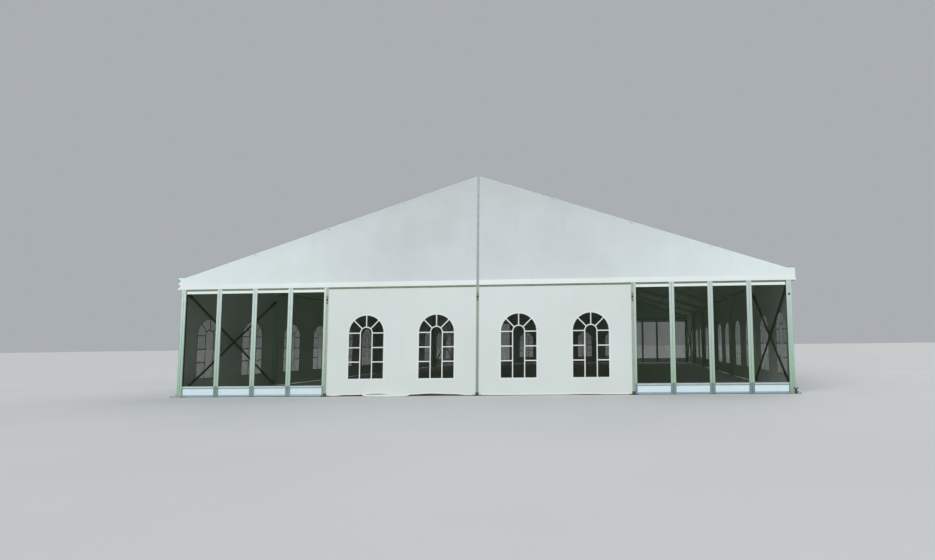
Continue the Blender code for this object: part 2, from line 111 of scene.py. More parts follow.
class Finish:
    """A material under construction: its shader, and short ways to add nodes before it."""

    def __init__(self, name, colour, roughness, metallic=0.0):
        self.material = bpy.data.materials.new(name)
        self.material.use_nodes = True
        self.material.diffuse_color = (*colour, 1.0)
        self.nodes = self.material.node_tree.nodes
        self.links = self.material.node_tree.links
        self.shader = self.nodes["Principled BSDF"]
        self.place = self.nodes.new("ShaderNodeTexCoord").outputs["Object"]
        self.feed("Metallic", metallic)
        self.feed("Base Color", (*colour, 1.0))
        self.feed("Roughness", roughness)

    def wire(self, node, inputs):
        """Sets or links a node's inputs, which are given by name or number."""
        for key, value in inputs.items():
            if isinstance(value, bpy.types.NodeSocket):
                self.links.new(value, node.inputs[key])
            else:
                node.inputs[key].default_value = value
        return node

    def feed(self, name, value):
        """Sets or links one input of the shader."""
        self.wire(self.shader, {name: value})

    def node(self, kind, inputs):
        return self.wire(self.nodes.new(kind), inputs)

    def noise(self, scale, detail=3.0, stretch=(1.0, 1.0, 1.0)):
        """Noise with this many cells in a metre, drawn out along an axis by a small stretch there."""
        mapping = self.node("ShaderNodeMapping", {"Vector": self.place, "Scale": stretch})
        cells = {"Vector": mapping.outputs["Vector"], "Scale": scale, "Detail": detail}
        return self.node("ShaderNodeTexNoise", cells).outputs["Fac"]

    def threads(self, axis):
        """Fine even ridges across an axis, for one set of a weave's threads."""
        texture = self.node("ShaderNodeTexWave", {"Vector": self.place, "Scale": THREADS_PER_METRE})
        texture.bands_direction = axis
        return texture.outputs["Fac"]

    def math(self, operation, *numbers):
        node = self.nodes.new("ShaderNodeMath")
        node.operation = operation
        return self.wire(node, dict(enumerate(numbers))).outputs["Value"]

    def span(self, value, low, high, to_low=0.0, to_high=1.0):
        """The value taken from one range to another, and held inside it."""
        ends = {"Value": value, "From Min": low, "From Max": high, "To Min": to_low, "To Max": to_high}
        return self.node("ShaderNodeMapRange", ends).outputs["Result"]

    def mix(self, factor, first, second):
        """A mixture of two colours, each three numbers or another node's output."""
        node = self.nodes.new("ShaderNodeMix")
        node.data_type = "RGBA"
        sockets = [number for number, socket in enumerate(node.inputs) if socket.type == "RGBA"]
        colours = [(*value, 1.0) if isinstance(value, tuple) else value for value in (first, second)]
        self.wire(node, {"Factor": factor, **dict(zip(sockets, colours))})
        return next(socket for socket in node.outputs if socket.type == "RGBA")

    def tint(self, value, low, high, colour, other, most=1.0):
        """Colours the surface, up to this much like the other colour where the value is high."""
        self.feed("Base Color", self.mix(self.span(value, low, high, to_high=most), colour, other))

    def part(self, axis):
        """A point's place along one axis."""
        return self.node("ShaderNodeSeparateXYZ", {"Vector": self.place}).outputs[axis]

    def bump(self, height, strength, distance):
        """Relief, on top of any that the shader already has."""
        relief = {"Height": height, "Strength": strength, "Distance": distance}
        node = self.node("ShaderNodeBump", relief)
        earlier = self.shader.inputs["Normal"].links
        if earlier:
            self.wire(node, {"Normal": earlier[0].from_socket})
        self.feed("Normal", node.outputs["Normal"])


def shaded(colour, factor, lift=0.0):
    return tuple(min(1.0, factor * channel + lift) for channel in colour)


def coated_fabric(name, clean, soiled_and_shaded, foot_soil=0.0, middle_and_high_shade=0.0):
    """White coated fabric: a fine weave under the coating, soft patches, a soiled foot, and painted shade
    that greys the middle and the upper part.
    """
    finish = Finish(name, clean, 0.45)
    patches = finish.span(finish.noise(0.7, detail=4.0), 0.35, 0.75, to_high=0.22)
    runs = finish.span(finish.noise(3.0, detail=5.0, stretch=(1.0, 1.0, 0.12)), 0.52, 0.80, to_high=0.16)
    soil_and_shade = finish.math("MAXIMUM", patches, runs)
    if foot_soil:
        near_ground = finish.span(finish.part("Z"), 0.0, SOIL_HEIGHT, foot_soil, 0.0)
        blotches = finish.span(finish.noise(6.0, detail=6.0), 0.35, 0.65, to_low=0.2)
        soil_and_shade = finish.math("MAXIMUM", soil_and_shade, finish.math("MULTIPLY", near_ground, blotches))
    # Painted shade: greyer towards the middle and the top, so lighter at the foot and the outer edges, as the
    # light falls there.
    if middle_and_high_shade:
        from_middle = finish.math("ABSOLUTE", finish.part("X"))
        soil_and_shade = finish.math("ADD", soil_and_shade, finish.span(from_middle, 3.0, 9.0, middle_and_high_shade, 0.0))
        soil_and_shade = finish.math("ADD", soil_and_shade, finish.span(finish.part("Z"), HEM_Z, RIDGE_Z, 0.0, middle_and_high_shade))
    finish.feed("Base Color", finish.mix(soil_and_shade, clean, soiled_and_shaded))
    finish.feed("Roughness", finish.span(finish.noise(2.0, detail=4.0), 0.3, 0.7, 0.36, 0.52))
    finish.bump(finish.math("MULTIPLY", finish.threads("X"), finish.threads("Z")), 0.10, 0.0004)
    finish.bump(finish.noise(2.2), strength=0.18, distance=0.012)
    finish.feed("Specular IOR Level", 0.45)
    finish.feed("Sheen Weight", 0.05)
    return finish.material


def rolled_aluminium(name, colour, along, roughness=0.34, metallic=0.75, foot=None):
    """Mill-finish metal with fine draw lines along one axis and dull marks, with painted shade that turns it
    darker and greener at its foot where a foot colour is given.
    """
    finish = Finish(name, colour, roughness, metallic)
    stretch = tuple(0.02 if axis == along else 1.0 for axis in "XYZ")
    lines = finish.noise(160.0, detail=2.0, stretch=stretch)
    marks = finish.noise(5.0, detail=6.0)
    # Painted shade: the darker, greener foot colour near the ground, going over to the main colour by 3.4 m
    # up.
    tone = finish.mix(finish.span(finish.part("Z"), 0.3, 3.4), foot, colour) if foot else colour
    finish.tint(marks, 0.45, 0.75, tone, shaded(colour, 0.80), most=0.7)
    worn = finish.math("MULTIPLY_ADD", marks, 0.25, roughness - 0.08)
    finish.feed("Roughness", finish.math("MULTIPLY_ADD", lines, 0.10, worn))
    finish.bump(lines, strength=0.12, distance=0.0005)
    return finish.material


def coated_panel(name, colour):
    """A painted sheet panel with a faint orange peel and dust."""
    finish = Finish(name, colour, 0.30)
    dust = finish.span(finish.noise(4.0, detail=6.0), 0.45, 0.8, to_high=0.5)
    finish.feed("Base Color", finish.mix(dust, colour, shaded(colour, 0.82)))
    finish.feed("Roughness", finish.span(dust, 0.0, 0.5, 0.24, 0.45))
    finish.bump(finish.noise(220.0, detail=2.0), strength=0.06, distance=0.0004)
    return finish.material


def shade_tinted_pane(name, colour, opacity, roughness, waviness, gloss):
    """Clear glass or film that darkens what lies behind it, with smears that show in its gloss; its dark
    olive colour and part opacity are painted shade for the dim green inside.
    """
    finish = Finish(name, colour, roughness)
    smears = finish.noise(1.6, detail=5.0, stretch=(1.0, 1.0, 0.5))
    finish.feed("Roughness", finish.span(smears, 0.4, 0.8, roughness, roughness + 0.10))
    finish.tint(smears, 0.45, 0.85, colour, shaded(colour, 1.4), most=0.6)
    finish.feed("Alpha", finish.span(smears, 0.3, 0.8, opacity - 0.03, opacity + 0.06))
    finish.bump(finish.noise(1.1, detail=2.0), strength=waviness, distance=0.02)
    finish.feed("Specular IOR Level", gloss)
    return finish.material


def steel(name, colour, roughness):
    """Dark or galvanised steel with mottled zinc and rubbed spots."""
    finish = Finish(name, colour, roughness, metallic=0.6)
    spangle = finish.noise(28.0, detail=5.0)
    finish.tint(spangle, 0.52, 0.72, colour, shaded(colour, 1.8, lift=0.03), most=0.6)
    finish.feed("Roughness", finish.span(spangle, 0.3, 0.7, roughness, roughness + 0.15))
    finish.bump(finish.noise(90.0, detail=4.0), strength=0.15, distance=0.0006)
    return finish.material


def rubber(name):
    """Black rubber or moulded plastic with a fine grain."""
    finish = Finish(name, (0.035, 0.037, 0.036), 0.62)
    grain = finish.noise(60.0)
    finish.tint(grain, 0.4, 0.8, (0.030, 0.032, 0.031), (0.075, 0.078, 0.075))
    finish.bump(grain, strength=0.1, distance=0.0005)
    return finish.material


ROOF_WHITE = (0.80, 0.83, 0.83)
GABLE_WHITE = (0.83, 0.92, 0.915)
WALL_WHITE = (0.735, 0.795, 0.765)
TRIM_WHITE = (0.84, 0.87, 0.86)
SOIL = (0.60, 0.63, 0.58)
GREYED = (0.56, 0.60, 0.605)
GREENISH_METAL = (0.47, 0.57, 0.50)

ROOF_FABRIC = coated_fabric("roof_fabric", ROOF_WHITE, SOIL)
# The gable sheets and their borders carry painted shade, greyer high up and in the middle.
GABLE_FABRIC = coated_fabric("gable_fabric", GABLE_WHITE, GREYED, middle_and_high_shade=0.50)
EDGE_FABRIC = coated_fabric("edge_fabric", (0.90, 0.95, 0.95), GREYED, middle_and_high_shade=0.50)
HEM_FABRIC = coated_fabric("hem_fabric", (0.87, 0.92, 0.91), SOIL)
WALL_FABRIC = coated_fabric("wall_fabric", WALL_WHITE, SOIL, foot_soil=0.15)
TRIM_FABRIC = coated_fabric("trim_fabric", TRIM_WHITE, SOIL)
# The foot colours of the frames, side posts and stiles are painted shade, darker and greener near the ground.
FRAME_METAL = rolled_aluminium("frame_aluminium", (0.66, 0.80, 0.73), "Z", 0.40, 0.5, (0.37, 0.56, 0.42))
RIDGE_POST_METAL = rolled_aluminium("ridge_post_aluminium", (0.34, 0.39, 0.33), "Z")
SIDE_POST_METAL = rolled_aluminium(
    "side_post_aluminium", (0.45, 0.53, 0.45), "Z", metallic=0.5, foot=(0.40, 0.49, 0.39)
)
STILE_METAL = rolled_aluminium(
    "stile_aluminium", (0.64, 0.76, 0.72), "Z", metallic=0.4, foot=(0.42, 0.59, 0.43)
)
SILL_METAL = rolled_aluminium("sill_aluminium", (0.66, 0.80, 0.80), "X")
BASE_METAL = rolled_aluminium("base_aluminium", (0.42, 0.58, 0.64), "X")
LEVEL_METAL = rolled_aluminium("level_aluminium", GREENISH_METAL, "X")
LONG_METAL = rolled_aluminium("long_aluminium", GREENISH_METAL, "Y")
STRIP_METAL = rolled_aluminium("strip_aluminium", (0.36, 0.405, 0.415), "Z", 0.42)
# The track's dark colour is partly painted shade, for the shadow under the gable hem.
SHADED_TRACK_METAL = rolled_aluminium("shaded_track_aluminium", (0.20, 0.27, 0.17), "X", 0.50)
FOOT_METAL = rolled_aluminium("foot_aluminium", (0.27, 0.39, 0.37), "Z", 0.42)
HEAD_PANEL = coated_panel("head_panel", (0.91, 0.98, 0.97))
KICK_PANEL = coated_panel("kick_panel", (0.76, 0.89, 0.94))
# The dark olive colour of the glass and film is painted shade for the dim green inside of the tent.
GLASS = shade_tinted_pane("glass", (0.012, 0.028, 0.001), 0.26, roughness=0.02, waviness=0.05, gloss=0.36)
FILM = shade_tinted_pane("window_film", (0.007, 0.015, 0.001), 0.34, roughness=0.06, waviness=0.20, gloss=0.30)
BRACE_STEEL = steel("brace_steel", (0.030, 0.032, 0.034), 0.42)
ZINC_STEEL = steel("zinc_steel", (0.30, 0.32, 0.32), 0.45)
PLATE_STEEL = steel("plate_steel", (0.44, 0.46, 0.43), 0.50)
DARK_STEEL = steel("dark_steel", (0.050, 0.052, 0.050), 0.50)
RUBBER = rubber("rubber")
AGED_CLIP = coated_panel("aged_clip", (0.26, 0.23, 0.15))


# Outlines


def rectangle(low, high, foot, head):
    return [(low, foot), (high, foot), (high, head), (low, head)]


def mirrored(points, middle=()):
    """The points, any middle ones, and the first again in reverse, on the other side of zero."""
    return [*points, *middle, *((-across, other) for across, other in reversed(points))]


def circle(sides):
    angles = [2 * math.pi * step / sides for step in range(sides)]
    return [(math.cos(angle), math.sin(angle)) for angle in angles]


def signed_area(loop):
    """A loop's area, below zero where it runs clockwise."""
    pairs = zip(loop, loop[1:] + loop[:1])
    return sum(ax * by - bx * ay for (ax, ay), (bx, by) in pairs) / 2


def wound(loop, anticlockwise):
    return loop if (signed_area(loop) > 0) == anticlockwise else loop[::-1]


def close_points(loop, spacing):
    """The loop with points added, none further apart than the spacing."""
    points = []
    for (ax, ay), (bx, by) in zip(loop, loop[1:] + loop[:1]):
        steps = max(1, math.ceil(math.hypot(bx - ax, by - ay) / spacing))
        points += [(ax + (bx - ax) * step / steps, ay + (by - ay) * step / steps) for step in range(steps)]
    return points


def clear_of(points, loops, distance):
    """The points that lie at least this far from every edge of the loops."""
    points = np.array(points).reshape(-1, 2)
    nearest = np.full(len(points), np.inf)
    for loop in loops:
        start = np.array(loop)
        run = np.roll(start, -1, axis=0) - start
        lengths = np.maximum((run**2).sum(1), 1e-12)
        offset = points[:, None, :] - start[None]
        share = np.clip((offset * run).sum(2) / lengths, 0.0, 1.0)
        gap = offset - share[..., None] * run
        nearest = np.minimum(nearest, np.sqrt((gap**2).sum(2)).min(1))
    return [tuple(point) for point in points[nearest > distance]]


LATTICE_CLEARANCE = 0.45  # from an outline to the points inside it, as a share of their spacing
TRIANGLES_WITHOUT_HOLES = 2  # what delaunay_2d_cdt calls the triangles between the loops
MERGE_DISTANCE = 1e-7


def fill(loops, spacing):
    """A flat outline, with further loops as holes, as small even triangles."""
    dense = [close_points(loop, spacing) for loop in loops]
    dense = [wound(dense[0], True)] + [wound(loop, False) for loop in dense[1:]]
    points, outlines = [], []
    for loop in dense:
        outlines.append(list(range(len(points), len(points) + len(loop))))
        points += loop
    low = np.array(dense[0]).min(0)
    high = np.array(dense[0]).max(0)
    lattice = []
    row_height = spacing * math.sqrt(3) / 2
    for row in range(1, int((high[1] - low[1]) / row_height) + 1):
        shift = spacing / 2 if row % 2 else 0.0
        for column in range(int((high[0] - low[0]) / spacing) + 1):
            lattice.append((low[0] + shift + column * spacing, low[1] + row * row_height))
    if lattice:
        points += clear_of(lattice, dense, LATTICE_CLEARANCE * spacing)
    flat = [Vector(point) for point in points]
    made = delaunay_2d_cdt(flat, [], outlines, TRIANGLES_WITHOUT_HOLES, MERGE_DISTANCE)
    return made[0], made[2]


# Meshes

SMOOTH_FROM = math.radians(32)  # the gentlest fold between two faces that shows as an edge
WAVE_COUNT = 5  # how many waves add up to a ripple


class Piece:
    """Gathers members in one mesh, each with one of the piece's materials."""

    def __init__(self, name):
        self.name = name
        self.shape = bmesh.new()
        self.materials = []

    def paint(self, faces, material):
        if material not in self.materials:
            self.materials.append(material)
        for face in faces:
            face.material_index = self.materials.index(material)

    def box(self, low, high, material, bevel=0.002):
        """A box with softened edges between two corners, given in any order."""
        low, high = Vector(map(min, low, high)), Vector(map(max, low, high))
        size = high - low
        matrix = Matrix.Translation((low + high) / 2) @ Matrix.Diagonal((*size, 1.0))
        made = bmesh.ops.create_cube(self.shape, size=1.0, matrix=matrix)
        edges = {edge for vertex in made["verts"] for edge in vertex.link_edges}
        offset = min(bevel, 0.3 * min(size))
        before = set(self.shape.faces) - {face for edge in edges for face in edge.link_faces}
        bmesh.ops.bevel(self.shape, geom=list(edges), offset=offset, segments=1, affect="EDGES")
        self.paint(set(self.shape.faces) - before, material)

    def prism(self, section, stations, material):
        """The section set at each station: an origin, and the vectors of its two numbers."""
        rings = []
        for origin, across, inward in stations:
            rings.append([self.shape.verts.new(origin + a * across + b * inward) for a, b in section])
        faces = [self.shape.faces.new(rings[0]), self.shape.faces.new(rings[-1][::-1])]
        count = len(section)
        for ring, following in zip(rings, rings[1:]):
            for number in range(count):
                after = (number + 1) % count
                corners = (ring[number], following[number], following[after], ring[after])
                faces.append(self.shape.faces.new(corners))
        self.paint(faces, material)

    def length(self, section, ends, across, inward, material):
        """A straight length of a section from one end to the other."""
        self.prism(section, [(Vector(end), Vector(across), Vector(inward)) for end in ends], material)

    def turned(self, profile, base, axis, material, sides=16):
        """A shape turned about an axis from a base: the profile's numbers are radius and height."""
        axis = Vector(axis).normalized()
        across = axis.orthogonal().normalized()
        other = axis.cross(across)
        stations = []
        for radius, height in profile:
            stations.append((Vector(base) + height * axis, radius * across, radius * other))
        self.prism(circle(sides), stations, material)

    def bar(self, start, end, radius, material):
        """A round bar between two points."""
        run = Vector(end) - Vector(start)
        self.turned([(radius, 0.0), (radius, run.length)], start, run, material, 12)

    def bolt(self, place, axis, size):
        """A washer with a hexagon head of this size across."""
        washer, head, thick = 0.72 * size, 0.5 * size, 0.12 * size
        self.turned([(washer, 0.0), (washer, thick)], place, axis, ZINC_STEEL, 14)
        lift = Vector(place) + Vector(axis).normalized() * thick
        profile = [(head, 0.0), (head, 0.45 * size), (0.85 * head, 0.55 * size)]
        self.turned(profile, lift, axis, ZINC_STEEL, 6)

    def finish(self, slot, replaces=()):
        """Makes the object, smooth where its faces meet gently, and fastens it to the body."""
        bmesh.ops.recalc_face_normals(self.shape, faces=self.shape.faces)
        for edge in self.shape.edges:
            edge.smooth = len(edge.link_faces) == 2 and edge.calc_face_angle(math.pi) < SMOOTH_FROM
        for face in self.shape.faces:
            face.smooth = True
        return finish_object(self.name, self.shape, self.materials, replaces)


def put_in_scene(name, data):
    """A new object that shows this mesh, light or camera."""
    obj = bpy.data.objects.new(name, data)
    bpy.context.scene.collection.objects.link(obj)
    return obj


def mesh_object(name, shape, materials):
    mesh = bpy.data.meshes.new(name)
    shape.to_mesh(mesh)
    shape.free()
    for material in materials:
        mesh.materials.append(material)
    return put_in_scene(name, mesh)


def finish_object(name, shape, materials, replaces):
    """Makes a piece from its shape, fastens it to the body and hides the parts that it replaces."""
    obj = mesh_object(name, shape, materials)
    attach(obj, "root")
    if replaces:
        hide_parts(*replaces)
    return obj


def cloth(name, cuts, place, material, thick, spacing, out, replaces=()):
    """Flat cuts, each a list of loops, laid on a surface and given their thickness."""
    shape = bmesh.new()
    for loops in cuts:
        points, faces = fill(loops, spacing)
        vertices = [shape.verts.new(place(x, y, out)) for x, y in points]
        for face in faces:
            shape.faces.new([vertices[number] for number in face])
    return thicken(name, shape, material, thick, replaces)


def patch(name, cuts, place, material, spacing):
    """A hem, seam or trim welded on a gable sheet or wall."""
    return cloth(name, cuts, place, material, PATCH_THICK, spacing, PATCH_OUT)


def thicken(name, shape, material, thick, replaces=()):
    for vertex in [vertex for vertex in shape.verts if not vertex.link_faces]:
        shape.verts.remove(vertex)
    bmesh.ops.recalc_face_normals(shape, faces=shape.faces)
    for face in shape.faces:
        face.smooth = True
    for edge in shape.edges:
        edge.smooth = not edge.is_boundary
    obj = finish_object(name, shape, [material], replaces)
    solid = obj.modifiers.new("thickness", "SOLIDIFY")
    solid.thickness = thick
    solid.offset = 0.0
    return obj


def ease(share):
    """A soft start and end between 0 and 1."""
    share = min(1.0, max(0.0, share))
    return share * share * (3 - 2 * share)


def ripple(seed, shortest, longest):
    """A smooth wandering line between about -1 and 1, of waves between two lengths."""
    draw = random.Random(seed)
    waves = [(draw.uniform(shortest, longest), draw.uniform(0, 2 * math.pi)) for _ in range(WAVE_COUNT)]

    def height(at):
        total = sum(math.sin(2 * math.pi * at / length + phase) for length, phase in waves)
        return total / math.sqrt(WAVE_COUNT)

    return height


# Frames

KEDER_SLOT = (0.002, 0.009)  # how far behind the face a keder slot starts and ends
BEAM_DROP = 0.0060  # of the beams' upper sides under the roof line, which leaves room for the covers
SMALL_BOLT = 0.020
LET_IN = 0.0005  # how far a fitting goes into the metal that carries it
SHOE_INNER = FRAME_WIDTH / 2 + 0.001  # from an upright's middle to the plates of its shoe
SHOE_THICK = 0.008


def grooved_section(width, depth, slot=KEDER_SLOT, slot_depth=0.010, face_groove=0.012, side_groove=0.0):
    """An extrusion's outline: keder slots in its sides, and grooves along its faces and perhaps its sides."""
    half, chamfer, face_groove_depth, side_groove_depth = width / 2, 0.0015, 0.006, 0.012
    outer = [
        (face_groove / 2, face_groove_depth),
        (face_groove / 2, 0.0),
        (half - chamfer, 0.0),
        (half, chamfer),
        (half, slot[0]),
        (half - slot_depth, slot[0]),
        (half - slot_depth, slot[1]),
        (half, slot[1]),
    ]
    if side_groove:
        edge = (depth - side_groove) / 2
        outer += [(half, edge), (half - side_groove_depth, edge)]
    return mirrored(outer + [(across, depth - inward) for across, inward in reversed(outer)])


def beam_section(width, depth):
    return grooved_section(width, depth, face_groove=0.010)


LEG_SECTION = grooved_section(FRAME_WIDTH, LEG_DEPTH, side_groove=0.014)
POST_SECTION = grooved_section(FRAME_WIDTH, LEG_DEPTH, slot=(0.004, 0.011))
RAIL_SECTION = grooved_section(RAIL_HEIGHT, 0.080, slot=(0.010, 0.018), slot_depth=0.008)
EAVE_BEAM_SECTION = beam_section(EAVE_BEAM_WIDTH, EAVE_FLAT_Z - EAVE_BEAM_Z - BEAM_DROP)
PURLIN_DEPTH = 0.080
RIDGE_WIDTH, RIDGE_DEPTH = 0.080, 0.120
# A beam's section, its depth, and how far its corners keep its top under the roof line
PURLIN = (beam_section(0.060, PURLIN_DEPTH), PURLIN_DEPTH, 0.0)
RIDGE_BEAM = (beam_section(RIDGE_WIDTH, RIDGE_DEPTH), RIDGE_DEPTH, RIDGE_WIDTH / 2 * math.tan(PITCH))
KNOB = [(0.036, 0.0), (0.036, 0.006), (0.030, 0.010), (0.030, 0.022), (0.020, 0.027)]
LEG_KNOB_Z = 3.11


def roof_z(x):
    return EAVE_HEIGHT + (HALF_SPAN - abs(x)) * math.tan(PITCH)


def frame_y(index):
    return -HALF_LENGTH + index * BAY_LENGTH


def bay_ends(index):
    """Where the open part of a bay starts and ends, between two frames."""
    return frame_y(index) + FRAME_WIDTH / 2, frame_y(index + 1) - FRAME_WIDTH / 2


def mitred_stations(path, y):
    """Stations along a path in the plane of a frame, turned halfway at each corner."""
    stations = []
    for number, (x, z) in enumerate(path):
        normals = []
        for start, end in ((number - 1, number), (number, number + 1)):
            if start >= 0 and end < len(path):
                run = Vector((path[end][0] - path[start][0], path[end][1] - path[start][1])).normalized()
                normals.append(Vector((-run.y, run.x)))
        middle = sum(normals, Vector((0.0, 0.0))).normalized()
        inward = middle / middle.dot(normals[0])
        stations.append((Vector((x, y, z)), ALONG_Y, Vector((inward.x, 0, inward.y))))
    return stations


def add_purlins(piece, index):
    """The beams that one frame carries as far as the next, with a bracket at each end."""
    start, end = bay_ends(index)
    for step in range(-PURLIN_COUNT, PURLIN_COUNT + 1):
        x = step * PURLIN_SPACING
        slope = ((step > 0) - (step < 0)) * PITCH
        across = Vector((math.cos(slope), 0, -math.sin(slope)))
        down = Vector((-math.sin(slope), 0, -math.cos(slope)))
        section, depth, corner_drop = PURLIN if step else RIDGE_BEAM
        top = Vector((x, 0, roof_z(x) - corner_drop)) + down * BEAM_DROP
        ends = [top + Vector((0, y, 0)) for y in (start, end)]
        piece.length(section, ends, across, down, LONG_METAL)
        for y, inward in ((start, 1), (end, -1)):
            add_bracket(piece, top, across, down, depth, y, inward)
    for side in (LEFT, RIGHT):
        x = side * (EAVE_X - BEAM_DROP - EAVE_BEAM_WIDTH / 2)
        ends = [(x, y, EAVE_FLAT_Z - BEAM_DROP) for y in (start, end)]
        piece.length(EAVE_BEAM_SECTION, ends, ALONG_X, -UP, LONG_METAL)


def add_bracket(piece, top, across, down, depth, y, inward):
    """An angle plate under a purlin's end, with two bolts up into it."""
    length, half_width, thick = 0.11, 0.045, 0.006
    bolt_reach, bolt_offset = 0.065, 0.022
    section = rectangle(-half_width, half_width, depth, depth + thick)
    ends = [top + Vector((0, y + inward * reach, 0)) for reach in (0.0, length)]
    piece.length(section, ends, across, down, ZINC_STEEL)
    for offset in (-bolt_offset, bolt_offset):
        place = top + down * (depth + thick) + across * offset + Vector((0, y + inward * bolt_reach, 0))
        piece.bolt(place, down, SMALL_BOLT)


def add_plate(piece, x, y, half_x, half_y, material):
    """A foot's flat plate on the ground."""
    piece.box((x - half_x, y - half_y, 0.0), (x + half_x, y + half_y, BASE_THICK), material, 0.003)


def add_pegs(piece, x, y, holes, profile):
    """The heads of the pegs that go down through a plate's holes."""
    for hole_x, hole_y in holes:
        piece.turned(profile, (x + hole_x, y + hole_y, BASE_THICK), UP, ZINC_STEEL, 14)


def add_leg_foot(piece, side, y):
    """A leg's ground plate, with a packing round the leg, a shoe on its two sides, and pegs."""
    x, leg_x = side * BASE_MIDDLE_X, side * LEG_MIDDLE_X
    packing_x, packing_y, packing_head = 0.06, FRAME_WIDTH / 2 + 0.008, BASE_THICK + 0.006
    low = (leg_x - packing_x, y - packing_y, BASE_THICK)
    piece.box(low, (leg_x + packing_x, y + packing_y, packing_head), DARK_STEEL)
    add_plate(piece, x, y, BASE_HALF_LENGTH, BASE_HALF_WIDTH, PLATE_STEEL)
    shoe_half, shoe_head, bolt_z = 0.13, BASE_THICK + 0.07, BASE_THICK + 0.042
    for hand in (-1, 1):
        inner, outer = y + hand * SHOE_INNER, y + hand * SHOE_INNER + hand * SHOE_THICK
        piece.box((x - shoe_half, inner, BASE_THICK), (x + shoe_half, outer, shoe_head), PLATE_STEEL)
        piece.bolt((x, outer, bolt_z), (0, hand, 0), 0.026)
    outer_hole, inner_hole, hole_y = side * 0.165, -side * 0.155, 0.11
    holes = [(hole_x, hand * hole_y) for hole_x in (outer_hole, inner_hole) for hand in (-1, 1)]
    peg = [(0.011, 0.0), (0.011, 0.014), (0.024, 0.016), (0.026, 0.024), (0.020, 0.032), (0.006, 0.036)]
    add_pegs(piece, x, y, holes, peg)


def add_tee_stake(piece, x, y):
    """A driven ground stake with a short cross handle, standing in a hole of the plate."""
    top, reach, fall, rise = 0.17, 0.055, 0.03, 0.025
    piece.bar((x, y, 0.0), (x, y, top), 0.026, DARK_STEEL)
    piece.turned([(0.040, 0.0), (0.040, 0.010), (0.028, 0.022)], (x, y, BASE_THICK), UP, DARK_STEEL)
    for hand in (-1, 1):
        piece.bar((x, y, top - fall), (x + hand * reach, y, top + rise), 0.018, DARK_STEEL)


def add_eave_nose(piece, side, y):
    """The block at a frame's eave that carries the roof's flat edge out past the leg."""
    nose = [
        (side * (HALF_SPAN + LET_IN), EAVE_BEAM_Z),
        (side * EAVE_X, EAVE_BEAM_Z),
        (side * EAVE_X, EAVE_FLAT_Z),
        (side * FLAT_START_X, EAVE_FLAT_Z),
        (side * (HALF_SPAN + LET_IN), EAVE_HEIGHT),
    ]
    ends = [(0, y + offset, 0) for offset in (-FRAME_WIDTH / 2, FRAME_WIDTH / 2)]
    piece.length(nose, ends, ALONG_X, UP, FOOT_METAL)


def add_splice(piece, side, y):
    """Pairs of bolts on the inner sides of a leg's head and a rafter's foot, clear of the fabric's slots."""
    start, step, leg_top, half_pair = 0.20, 0.16, 3.55, 0.026
    for number in range(4):
        x = side * (LEG_INNER_X - (start + step * number) * math.cos(PITCH))
        z = roof_z(x) - LEG_DEPTH / math.cos(PITCH) - LET_IN
        down = (-side * math.sin(PITCH), 0, -math.cos(PITCH))
        leg_face, leg_z = side * (LEG_INNER_X - LET_IN), leg_top - step * number
        for place_x, place_z, axis in ((x, z, down), (leg_face, leg_z, (-side, 0, 0))):
            for offset in (-half_pair, half_pair):
                piece.bolt((place_x, y + offset, place_z), axis, SMALL_BOLT)


def make_frame(index):
    """A portal frame with grooved legs and rafters, eave blocks, feet, and its purlins."""
    piece = Piece(f"portal_{index + 1}")
    y = frame_y(index)
    path = mirrored([(HALF_SPAN, BASE_THICK), (HALF_SPAN, EAVE_HEIGHT)], [(0, RIDGE_Z)])
    piece.prism(LEG_SECTION, mitred_stations(path, y), FRAME_METAL)
    for side in (LEFT, RIGHT):
        add_eave_nose(piece, side, y)
        add_splice(piece, side, y)
        add_leg_foot(piece, side, y)
        if index == (0 if side > 0 else BAY_COUNT):
            outward = -1 if index == 0 else 1
            add_tee_stake(piece, side * HALF_SPAN, y + outward * 0.115)
            knob_place = (side * LEG_MIDDLE_X, outward * END_FACE_Y, LEG_KNOB_Z)
            piece.turned(KNOB, knob_place, (0, outward, 0), RUBBER)
    if index < BAY_COUNT:
        add_purlins(piece, index)
    return piece.finish("aluminium", [f"frame_{index + 1}"])


# Gable posts

LATCH_HEIGHTS = {-1: 3.14, 0: 3.17, 1: 3.09}
LATCH_PARTS = (  # half the width, how far it stands out, its foot and head from the knob, its material
    (0.030, 0.007, 0.045, 0.135, AGED_CLIP),
    (0.022, 0.006, -0.135, -0.060, DARK_STEEL),
    (0.012, 0.016, -0.115, -0.090, ZINC_STEEL),
)


def add_latch(piece, x, side, z):
    """The pin and clip that hold the wall's keder rail to an upright."""
    face_y = side * POST_FACE_Y
    piece.turned(KNOB, (x, face_y, z), (0, side, 0), RUBBER)
    for half, out, foot, head, material in LATCH_PARTS:
        piece.box((x - half, face_y, z + foot), (x + half, face_y + side * out, z + head), material)


